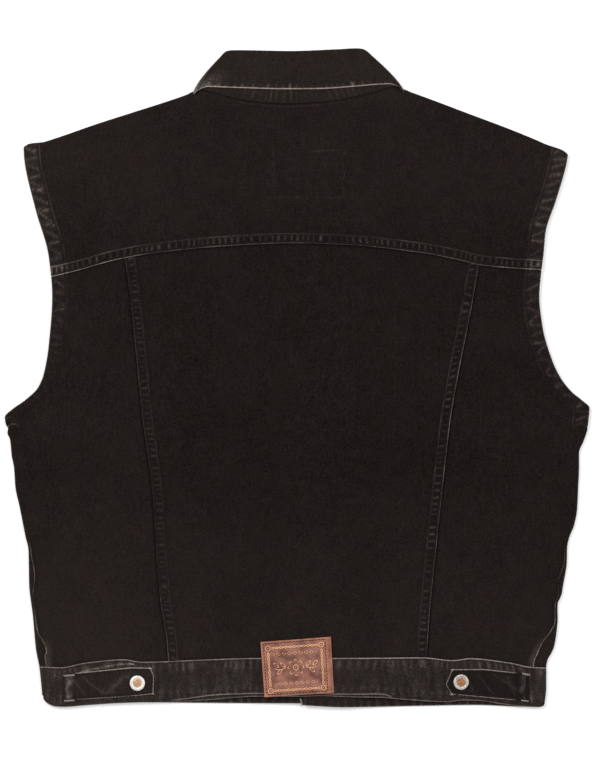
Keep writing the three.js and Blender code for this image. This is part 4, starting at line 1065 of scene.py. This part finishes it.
def build_patch():
    """The leather patch, with raised tooling and rounded edges."""
    corners = {key: [np.array(corner, float) for corner in pair] for key, pair in PATCH_CORNERS.items()}
    width = float(np.hypot(*(corners["low"][1] - corners["low"][0])))
    height = float(np.hypot(*(corners["high"][0] - corners["low"][0])))
    u = np.concatenate([[0, 0.004, 0.01], np.linspace(0.018, 0.982, 126), [0.99, 0.996, 1]])[None, :, None]
    v = np.concatenate([[0, 0.004, 0.012], np.linspace(0.022, 0.978, 100), [0.988, 0.996, 1]])[:, None, None]
    low = corners["low"][0] * (1 - u) + corners["low"][1] * u
    high = corners["high"][0] * (1 - u) + corners["high"][1] * u
    place = low * (1 - v) + high * v
    x, y = place[..., 0], place[..., 1]
    s, t = u[..., 0] * width + 0 * x, v[..., 0] * height + 0 * x
    tool = patch_pattern(s, t, width, height)
    nearest = np.minimum.reduce([s, width - s, t, height - t])
    curl = 0.5 * np.exp(-s / 5) + 0.35 * np.exp(-(width - s) / 6) + 0.25 * np.exp(-(height - t) / 5)
    base = back_low(x, y) + BAND + 0.35 + 0.25 * noise(x / 24, y / 20, 95)
    seam_step = 0.3 * smooth(-4, 4, waist_top(x) - y) - 0.15
    top = base + seam_step + PATCH_THICK + 0.32 * tool - round_off(nearest, 0.7) + 0.5 * curl
    top = top - 0.22 * line(0.5, nearest - PATCH_ROW)
    under = base + 0.2 * curl
    # Rubbed edges and margins; the band near the right edge also stands for a painted sheen on the raised
    # strip
    rubbed = 0.55 * line(0.9, nearest - 0.3) + 0.5 * line(2.2, (width - s) - 5.2) + 0.4 * line(1.6, s - 2.6)
    attributes = {"tool": np.append(tool, 0 * tool), "rub_and_sheen": np.append(rubbed, 0 * rubbed)}
    return closed_wall("patch_leather", sheet(x, y, top), sheet(x, y, under), attributes)


def select_only(piece):
    bpy.ops.object.select_all(action="DESELECT")
    bpy.context.view_layer.objects.active = piece
    piece.select_set(True)


class Strands:
    """Short lengths of thread, gathered into one mesh."""

    def __init__(self, sides=6):
        self.sides = sides
        self.points, self.faces, self.count = [], [], 0

    def add(self, path, radii):
        """A thread along a path of points, with a radius at each, closed at both ends."""
        path = np.asarray(path, float)
        forward = np.gradient(path, axis=0)
        forward /= np.linalg.norm(forward, axis=1)[:, None]
        across = np.cross(forward, [0.0, 0.0, 1.0])
        across /= np.maximum(np.linalg.norm(across, axis=1), 1e-9)[:, None]
        up = np.cross(across, forward)
        turn = np.arange(self.sides) * 2 * np.pi / self.sides
        ring = across[:, None] * np.cos(turn)[:, None] + up[:, None] * np.sin(turn)[:, None]
        points = path[:, None] + ring * np.asarray(radii, float)[:, None, None]
        n = self.sides
        base = np.arange(len(path) * n).reshape(len(path), n)
        around = np.roll(base, -1, axis=1)
        quads = np.stack([base[:-1], around[:-1], around[1:], base[1:]], -1).reshape(-1, 4)
        first, last = len(path) * n, len(path) * n + 1
        fans = [(base[0, k], first, around[0, k]) for k in range(n)]
        fans += [(around[-1, k], last, base[-1, k]) for k in range(n)]
        self.points.append(np.concatenate([points.reshape(-1, 3), path[[0, -1]]]))
        self.faces.extend(tuple(int(i) + self.count for i in face) for face in [*quads, *fans])
        self.count += len(path) * n + 2

    def build(self, name):
        piece = link_mesh(name, np.concatenate(self.points), self.faces)
        select_only(piece)
        bpy.ops.object.mode_set(mode="EDIT")
        bpy.ops.mesh.select_all(action="SELECT")
        bpy.ops.mesh.normals_make_consistent(inside=False)
        bpy.ops.object.mode_set(mode="OBJECT")
        piece.select_set(False)
        return piece


class Surface:
    """Finds how high the cloth lies at a place, from above."""

    def __init__(self, pieces):
        points, faces = [], []
        for piece in pieces:
            start = len(points)
            points.extend(vertex.co for vertex in piece.data.vertices)
            faces.extend([start + index for index in face.vertices] for face in piece.data.polygons)
        self.tree = BVHTree.FromPolygons(points, faces)

    def height(self, x, y):
        hit = self.tree.ray_cast(Vector((x * MM, y * MM, 0.1)), Vector((0, 0, -1)))[0]
        return None if hit is None else hit.z / MM


def spaced(points, pitch):
    """Places along a path at an even pitch, with their directions."""
    points = np.asarray(points, float)
    lengths = np.append(0, np.cumsum(np.hypot(*np.diff(points, axis=0).T)))
    for distance in np.arange(pitch * 0.5, lengths[-1], pitch):
        middle = np.array([np.interp(distance, lengths, points[:, k]) for k in (0, 1)])
        ahead = np.array([np.interp(distance + 0.5, lengths, points[:, k]) for k in (0, 1)])
        behind = np.array([np.interp(distance - 0.5, lengths, points[:, k]) for k in (0, 1)])
        yield middle, (ahead - behind) / max(float(np.hypot(*(ahead - behind))), 1e-6)


def stitch(strands, surface, points, pitch=3.2, length=2.5, radius=0.3):
    """A row of stitches that follows the cloth."""
    for middle, direction in spaced(points, pitch):
        spots = [middle + direction * length * share for share in (-0.5, -0.3, 0, 0.3, 0.5)]
        heights = [surface.height(*spot) for spot in spots]
        if None in heights:
            continue
        sunk = (-0.22, 0.1, 0.2, 0.1, -0.22)
        path = [(*spot, height + dip) for spot, height, dip in zip(spots, heights, sunk)]
        strands.add(path, [radius * 0.5, radius, radius, radius, radius * 0.5])


def offset(points, distance):
    """A path moved sideways, to the left of its direction."""
    points = np.asarray(points, float)
    direction = np.gradient(points, axis=0)
    direction /= np.hypot(*direction.T)[:, None]
    return points + np.column_stack([-direction[:, 1], direction[:, 0]]) * distance


def seam_paths():
    """Every row of stitches that shows on the back."""

    def across(edge, start, end, count):
        xs = np.linspace(start, end, count)
        return np.column_stack([xs, edge(xs)])

    def upwards(edge, low, high, count):
        ys = np.linspace(low, high, count)
        return np.column_stack([edge(ys), ys])

    seams = [
        (across(yoke_seam, -228, 228, 160), 1),
        (upwards(left_seam, -264, 108, 130), -1),
        (upwards(right_seam, -264, 108, 130), 1),
    ]
    for path, sign in seams:
        for row in STITCH_ROWS:
            yield offset(path, sign * row)
    for edge, sign, high in ((left_edge, -1, 214), (right_edge, 1, 208)):
        yield offset(upwards(edge, -36, high, 110), sign * (HEM_BAND - HEM_ROW))
    for start, end in ((-236, -38), (38, 230)):
        yield across(waist_top, start, end, 70) - (0, WAIST_ROWS[0])
        yield across(waist_low, start, end, 70) + (0, WAIST_ROWS[1])
    yield across(leaf_edge, -86, 88, 60) + (0, LEAF_ROW)


def build_stitches(surface):
    """The black thread of every seam, the tabs' and the patch's."""
    strands = Strands()
    for path in seam_paths():
        stitch(strands, surface, path)
    for side, inward in (("left", -TAB_ROW), ("right", TAB_ROW)):
        shape = TABS[side]
        low = [(x, y + TAB_ROW) for x, y in sorted(shape["low"])]
        high = [(x, y - TAB_ROW) for x, y in sorted(shape["high"])]
        end = [(x + inward, y) for y, x in sorted(shape["end"])]
        for path in (low, high, end):
            stitch(strands, surface, path, 2.8, 2.1)
    corners = [*PATCH_CORNERS["low"], *PATCH_CORNERS["high"][::-1]]
    middle = np.mean(corners, axis=0)
    half_size, right_margin = 30, 3.2
    inset = [middle + (np.array(corner) - middle) * (1 - PATCH_ROW / half_size) for corner in corners]
    inset = [spot - [right_margin * (spot[0] > middle[0]), 0] for spot in inset]
    stitch(strands, surface, [*inset, inset[0]], 3.0, 2.3, 0.34)
    return strands.build("seam_stitches")


def build_bar_tacks(surface):
    """The pale bar tacks at the tabs' roots, and the dots at the right tab's corners."""
    strands = Strands(5)
    bars = [
        ((-221.6, -283.4), (-211.2, -282.6), 2.1),
        ((-221, -307.2), (-211.4, -306.6), 1.9),
        ((213.6, -281.2), (221.2, -282.8), 2.3),
        ((212.6, -306.6), (219.6, -307.4), 1.8),
        ((146.2, -277.6), (149.4, -277.4), 1.3),
        ((144.8, -301), (148, -301.4), 1.5),
        ((-158.4, -272.4), (-155, -272.6), 0.9),
        ((-140.4, -275.2), (-138, -276.6), 0.8),
        ((-138, -300), (-135.6, -301.2), 0.9),
    ]
    for start, end, height in bars:
        start, end = np.array(start, float), np.array(end, float)
        count = max(4, round(float(np.hypot(*(end - start))) / 0.62))
        direction = (end - start) / np.hypot(*(end - start))
        across = np.array([-direction[1], direction[0]])
        for k in range(count):
            middle = start + (end - start) * (k + 0.5) / count
            lean = direction * (0.45 if k % 2 else -0.45)
            size = height * (0.9 + 0.16 * float(noise(k * 1.7, start[0], 97)))
            spots = [middle + (across * share * size) + lean * share * 2 for share in (-0.5, 0, 0.5)]
            heights = [surface.height(*spot) for spot in spots]
            if None in heights:
                continue
            level = max(heights)
            path = [(*spot, level + lift) for spot, lift in zip(spots, (0.05, 0.5, 0.05))]
            strands.add(path, [0.2, 0.3, 0.2])
    return strands.build("bar_tacks")


def build_frayed_thread():
    """Loose pale thread ends where the right front's waistband ends, in the middle of the hem."""
    strands = Strands(5)
    for k in range(16):
        x = 4.4 + 0.9 * float(noise(k * 1.3, 0, 98))
        y = -304.6 - 6.2 * k / 15
        length = 2.4 + 1.2 * float(noise(k * 0.9, 2, 99))
        lean = float(noise(k * 1.1, 4, 100))
        steps = np.linspace(0, 1, 5)
        path = np.column_stack([
            x - 0.6 + length * 0.45 * steps * lean,
            y - length * steps,
            7.0 + 0.9 * np.sin(np.pi * steps) + 0.1 * k % 0.5,
        ])
        strands.add(path, [0.22, 0.2, 0.17, 0.13, 0.08])
    return strands.build("frayed_thread")


# Hard pieces are modelled in edit mode
def edit(piece):
    select_only(piece)
    bpy.ops.object.mode_set(mode="EDIT")
    bpy.ops.mesh.select_all(action="DESELECT")


def object_mode():
    bpy.ops.object.mode_set(mode="OBJECT")


def pick_top(piece):
    """Selects the highest flat face."""
    object_mode()
    highest = max(face.center.z for face in piece.data.polygons)
    for face in piece.data.polygons:
        face.select = face.normal.z > 0.99 and face.center.z > highest - 1e-6
    bpy.ops.object.mode_set(mode="EDIT")
    bpy.ops.mesh.select_mode(type="FACE")


def place_down(piece):
    """Moves the object's place into its mesh."""
    select_only(piece)
    bpy.ops.object.transform_apply(location=True, rotation=True, scale=True)
    piece.select_set(False)


def turned_piece(name, node, steps, vertices=64):
    """A round metal piece: a cylinder whose top is inset and raised or sunk in steps of millimetres."""
    low, high = (Vector(corner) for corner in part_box(node))
    radius, first = BUTTON_TRIM * (high.x - low.x) / 2, steps[0]
    middle = (low + high) / 2
    bpy.ops.mesh.primitive_cylinder_add(
        vertices=vertices,
        radius=radius,
        depth=first * MM,
        location=(middle.x, middle.y, low.z + first * MM / 2),
    )
    piece = bpy.context.object
    piece.name = name
    place_down(piece)
    edit(piece)
    pick_top(piece)
    for inset, rise in steps[1:]:
        bpy.ops.mesh.inset(thickness=inset * MM, depth=0)
        bpy.ops.transform.translate(value=(0, 0, rise * MM))
    object_mode()
    bevel = piece.modifiers.new("soft_edges", "BEVEL")
    bevel.width = 0.12 * MM
    bevel.segments = 2
    bevel.limit_method = "ANGLE"
    bpy.ops.object.modifier_apply(modifier=bevel.name)
    bpy.ops.object.shade_smooth_by_angle(angle=math.radians(40))
    return piece


def build_button(side):
    """A tack button: a rolled rim round a sunk floor, and a copper rivet in the middle."""
    rims = {
        "left": (1.5, (0.35, 0.4), (0.4, 0.28), (0.8, 0.12), (0.8, -0.06), (0.4, -0.2), (0.3, -0.4)),
        "right": (1.5, (0.35, 0.4), (0.4, 0.28), (0.45, 0.1), (0.45, -0.1), (0.2, -1.2), (1.0, 0)),
    }
    rim = turned_piece(f"button_rim_{side}", f"tab_button_{side}", rims[side])
    rivet = turned_piece(
        f"button_rivet_{side}",
        f"tab_rivet_{side}",
        (1.6, (0.2, 0.2), (0.35, 0.12), (0.6, 0.06), (0.5, -0.1), (0.5, 0.1), (0.6, 0.04)),
        48,
    )
    return rim, rivet


class Value:
    """A number or a vector in a node tree. Expressions on it add their nodes."""

    def __init__(self, paint, socket):
        self.paint, self.socket = paint, socket

    def math(self, operation, *others):
        values = {k: value for k, value in enumerate((self, *others))}
        return self.paint.node("Math", {"operation": operation}, values)

    def __add__(self, other):
        return self.math("ADD", other)

    def __mul__(self, other):
        return self.math("MULTIPLY", other)

    def __sub__(self, other):
        return self.math("SUBTRACT", other)

    def __rsub__(self, other):
        return self.paint.node("Math", {"operation": "SUBTRACT"}, {0: other, 1: self})

    __radd__ = __add__
    __rmul__ = __mul__


class Paint:
    """One material and the node tree behind it."""

    def __init__(self, name, **finish):
        self.material = bpy.data.materials.new(name)
        self.material.use_nodes = True
        self.tree = self.material.node_tree
        self.tree.nodes.clear()
        self.shader = self.tree.nodes.new("ShaderNodeBsdfPrincipled")
        output = self.tree.nodes.new("ShaderNodeOutputMaterial")
        self.tree.links.new(self.shader.outputs[0], output.inputs[0])
        for key, value in finish.items():
            self.set(key.replace("_", " ").title().replace("Ior", "IOR"), value)

    def set(self, name, value):
        self.join(self.shader.inputs[name], value)

    def join(self, socket, value):
        if isinstance(value, Value):
            self.tree.links.new(value.socket, socket)
        else:
            socket.default_value = value

    def node(self, kind, settings=None, inputs=None, output=0):
        node = self.tree.nodes.new("ShaderNode" + kind)
        for key, value in (settings or {}).items():
            setattr(node, key, value)
        for key, value in (inputs or {}).items():
            self.join(node.inputs[key], value)
        return Value(self, node.outputs[output])

    def place(self, scale=(1, 1, 1), turn=0.0):
        """Object coordinates in millimetres, stretched and turned about Z."""
        where = self.node("TexCoord", output="Object")
        inputs = {"Vector": where, "Scale": tuple(METRE * s for s in scale), "Rotation": (0, 0, turn)}
        return self.node("Mapping", {"vector_type": "POINT"}, inputs)

    def noise(self, size, detail=2, stretch=(1, 1, 1)):
        """Noise from 0 to 1 whose features are so many millimetres across."""
        where = self.place(tuple(s / size for s in stretch))
        return self.node("TexNoise", None, {"Vector": where, "Scale": 1.0, "Detail": detail})

    def ease(self, value, low, high):
        """0 below low, 1 above high, smooth between."""
        inputs = {"Value": value, "From Min": low, "From Max": high}
        return self.node("MapRange", {"interpolation_type": "SMOOTHSTEP"}, inputs)

    def mix(self, factor, first, second, blend="MIX"):
        settings = {"data_type": "RGBA", "clamp_factor": True, "blend_type": blend}
        return self.node("Mix", settings, {0: factor, 6: first, 7: second}, output=2)

    def attribute(self, name):
        return self.node("Attribute", {"attribute_name": name}, output="Fac")

    def bump(self, height, strength, distance_mm):
        inputs = {"Strength": strength, "Distance": distance_mm * MM, "Height": height}
        self.set("Normal", self.node("Bump", None, inputs))


def srgb(red, green, blue):
    """A colour from 0 to 255 as light, for a shader."""
    light = [((c / 255 + 0.055) / 1.055) ** 2.4 if c > 10 else c / 255 / 12.92 for c in (red, green, blue)]
    return (*light, 1.0)


def denim(name, base, faded, worn=(178, 161, 153)):
    """Washed black twill: diagonal ribs, slubby warp threads, a faded bloom, pale worn edges, and painted
    shade where the shade attribute marks hollows, grooves and lapping edges.
    """
    paint = Paint(name, roughness=0.92, specular_ior_level=0.06)
    ribs = paint.node(
        "TexWave",
        {"wave_type": "BANDS", "bands_direction": "X", "wave_profile": "SIN"},
        {
            "Vector": paint.place((0.55, 0.55, 0.55), math.radians(-62)),
            "Scale": 1.0,
            "Distortion": 0.7,
            "Detail": 2.0,
            "Detail Scale": 1.4,
        },
    )
    speckle = paint.noise(1.5, 2)
    fine = paint.noise(0.6, 2)
    slub = paint.noise(1.5, 2, (1.0, 0.2, 1.0))
    blotch = paint.noise(11, 3)
    hue = paint.noise(19, 3)
    wear = paint.attribute("wear")
    shade = paint.attribute("shade")
    grain = paint.ease(speckle * 0.62 + slub * 0.22 + fine * 0.16, 0.35, 0.65)
    amount = grain * 0.44 + paint.attribute("faded") * 0.5 + paint.ease(blotch, 0.3, 0.7) * 0.1
    cloth_colour = paint.mix(amount + (ribs - 0.5) * 0.1 - 0.08, srgb(*base), srgb(*faded))
    warm = paint.mix(paint.ease(hue, 0.42, 0.6), (0.96, 1.01, 0.96, 1), (1.03, 0.98, 1.05, 1))
    cloth_colour = paint.mix(1.0, cloth_colour, warm, "MULTIPLY")
    # Painted shade: near-black where the shade attribute marks hollows, grooves, folds and the strips beside
    # lapping edges
    cloth_colour = paint.mix(shade * (0.6 + grain * 0.35), cloth_colour, srgb(10, 8, 8))
    rubbed = paint.ease(wear * (0.62 + grain * 0.5 + ribs * 0.1), 0.02, 0.95)
    paint.set("Base Color", paint.mix(rubbed, cloth_colour, srgb(*worn)))
    paint.bump(ribs * 0.5 + fine * 0.35 + slub * 0.3, 0.35, 0.12)
    return paint.material


def leather(name):
    """Reddish brown leather, rubbed to tan on its tooling and along its edges, with painted shade round the
    tooling; its rubbed right strip carries a painted sheen as well.
    """
    paint = Paint(name, specular_ior_level=0.3)
    grain = paint.node(
        "TexVoronoi",
        {"feature": "DISTANCE_TO_EDGE"},
        {"Vector": paint.place((1.1, 1.1, 1.1)), "Scale": 1.0},
    )
    mottle = paint.noise(9, 3)
    fleck = paint.noise(0.9, 3)
    tool, rub_and_sheen = paint.attribute("tool"), paint.attribute("rub_and_sheen")
    base = paint.mix(paint.ease(mottle, 0.3, 0.7), srgb(118, 72, 60), srgb(176, 121, 104))
    base = paint.mix((1 - fleck) * 0.5, base, srgb(70, 38, 32))
    # Rubbed edges and margins, lighter; on the raised right strip this also stands for a painted sheen
    base = paint.mix(rub_and_sheen * (0.4 + mottle * 0.8), base, srgb(200, 128, 98))
    # Painted shade: darker round the foot of the tooling, where its relief shades the leather
    base = paint.mix(paint.ease(tool, 0.02, 0.16) * 0.6, base, srgb(72, 40, 34))
    tan = paint.mix(fleck, srgb(186, 118, 86), srgb(250, 194, 152))
    rubbed_tooling = paint.ease(tool * (0.6 + mottle * 0.8), 0.3, 0.8)
    paint.set("Base Color", paint.mix(rubbed_tooling, base, tan))
    paint.set("Roughness", 0.62 - tool * 0.12)
    paint.bump(paint.ease(grain, 0.0, 0.2) * 0.6 + fleck * 0.5, 0.3, 0.15)
    return paint.material


def thread(name, dark, light, roughness):
    """Twisted thread with a soft sheen."""
    paint = Paint(name, roughness=roughness, specular_ior_level=0.2)
    twist = paint.noise(0.5, 2)
    paint.set("Base Color", paint.mix(twist, srgb(*dark), srgb(*light)))
    paint.bump(twist, 0.3, 0.08)
    return paint.material


def metal(name, bright, dull, roughness, relief, metallic=1.0):
    """Worn metal, bright and dull in uneven scuffed patches."""
    paint = Paint(name, metallic=metallic)
    scuff = paint.noise(1.6, 3)
    fine = paint.noise(0.35, 2)
    paint.set("Base Color", paint.mix(paint.ease(scuff, 0.35, 0.7), srgb(*bright), srgb(*dull)))
    paint.set("Roughness", roughness + scuff * 0.2)
    paint.bump(fine * 0.6 + scuff * 0.4, relief, 0.1)
    return paint.material


def set_material(piece, material):
    piece.data.materials.clear()
    piece.data.materials.append(material)


def finish_with(piece, material):
    set_material(piece, material)
    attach(piece, "root")


def build_vest():
    """Every piece, finished and tied to its body; the solid that each one stands for is hidden."""
    cloth_finish = denim("black_denim", (15.5, 12, 11), (43.5, 36.5, 33.5))
    collar_finish = denim("collar_denim", (17, 13.5, 12), (46.5, 39.5, 35.5))
    hide = leather("patch_leather")
    black_thread = thread("black_thread", (16, 14, 13), (40, 35, 33), 0.7)
    pale_thread = thread("pale_thread", (96, 88, 82), (206, 197, 188), 0.8)
    nickels = {
        "left": metal("worn_nickel", (252, 249, 243), (226, 220, 212), 0.4, 0.2, 0.55),
        "right": metal("dull_nickel", (226, 221, 213), (176, 168, 158), 0.42, 0.3, 0.55),
    }
    coppers = {
        "left": metal("worn_copper", (216, 176, 146), (194, 148, 116), 0.45, 0.3),
        "right": metal("dull_copper", (196, 142, 106), (124, 84, 60), 0.5, 0.9),
    }

    # A piece, its solid, its cut's width and length and its area in metres, what it lies on, and how
    fronts = ["front_left_cloth", "front_right_cloth"]
    sheets = [
        (build_yoke(), "back_yoke", (0.56, 0.20), 0.082, fronts, "laid"),
        (build_middle(), "back_panel_middle", (0.35, 0.41), 0.121, fronts, "laid"),
        (build_side("left"), "back_panel_left", (0.165, 0.40), 0.045, fronts[:1], "laid"),
        (build_side("right"), "back_panel_right", (0.165, 0.39), 0.044, fronts[1:], "laid"),
        (build_front("left"), "front_left", (0.33, 0.55), 0.148, [], "folded"),
        (build_front("right"), "front_right", (0.29, 0.55), 0.13, fronts[:1], "folded"),
        (build_waistband(), "waistband", (1.04, 0.043), 0.041, ["left_panel_cloth"], "folded"),
        (build_collar(), "collar", (0.56, 0.115), 0.045, ["yoke_cloth"], "folded"),
        (build_tab("left"), "tab_left", (0.087, 0.027), 0.0022, ["waistband_cloth"], "laid"),
        (build_tab("right"), "tab_right", (0.08, 0.027), 0.002, ["waistband_cloth"], "laid"),
    ]
    for piece, node, flat, area, rests_on, held in sheets:
        finish_with(piece, collar_finish if node == "collar" else cloth_finish)
        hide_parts(node)
        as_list(rests_on)

    patch = build_patch()
    finish_with(patch, hide)
    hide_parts("leather_patch")

    surface = Surface([entry[0] for entry in sheets] + [patch])
    finish_with(build_stitches(surface), black_thread)
    for piece in (build_bar_tacks(surface), build_frayed_thread()):
        finish_with(piece, pale_thread)

    for side in ("left", "right"):
        rim, rivet = build_button(side)
        finish_with(rim, nickels[side])
        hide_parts(f"tab_button_{side}")
        finish_with(rivet, coppers[side])
        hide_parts(f"tab_rivet_{side}")
    for name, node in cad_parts.items():
        if name.startswith("front_button"):
            set_material(node, nickels["left"])


def build_floor():
    """A plain pale floor."""
    bpy.ops.object.select_all(action="DESELECT")
    bpy.ops.mesh.primitive_plane_add(size=8, location=(0, 0, -0.0003))
    floor = bpy.context.object
    floor.name = "floor"
    paint = Paint("pale_floor", base_color=(0.93, 0.93, 0.93, 1), roughness=0.9, specular_ior_level=0.1)
    paint.set("Emission Color", (1, 1, 1, 1))
    paint.set("Emission Strength", 0.24)
    floor.data.materials.append(paint.material)


def add_light(name, place, size, watts):
    """A soft square light that faces the middle of the vest."""
    data = bpy.data.lights.new(name, "AREA")
    data.size = size
    data.energy = watts
    light = bpy.data.objects.new(name, data)
    light.location = place
    light.rotation_euler = (-Vector(place)).to_track_quat("-Z", "Y").to_euler()
    bpy.context.collection.objects.link(light)


def build_studio():
    """Soft even light, and a camera straight above at the photograph's framing."""
    build_floor()
    add_light("key", (-1.3, 1.0, 1.9), 1.2, 34)
    add_light("fill", (1.5, 0.4, 1.9), 1.4, 19)
    world = bpy.data.worlds.new("studio")
    world.use_nodes = True
    background = world.node_tree.nodes["Background"]
    background.inputs["Color"].default_value = (1, 1, 1, 1)
    background.inputs["Strength"].default_value = 0.5
    scene = bpy.context.scene
    scene.world = world
    scene.view_settings.view_transform = "Standard"
    camera_data = bpy.data.cameras.new("camera")
    camera_data.lens = 200
    camera_data.sensor_width = 36
    camera = bpy.data.objects.new("camera", camera_data)
    height = EDGE_HEIGHT + FRAME_HEIGHT * camera_data.lens / camera_data.sensor_width
    camera.location = (CAMERA_OVER[0] * MM, CAMERA_OVER[1] * MM, height * MM)
    bpy.context.collection.objects.link(camera)
    scene.camera = camera


build_vest()
build_studio()
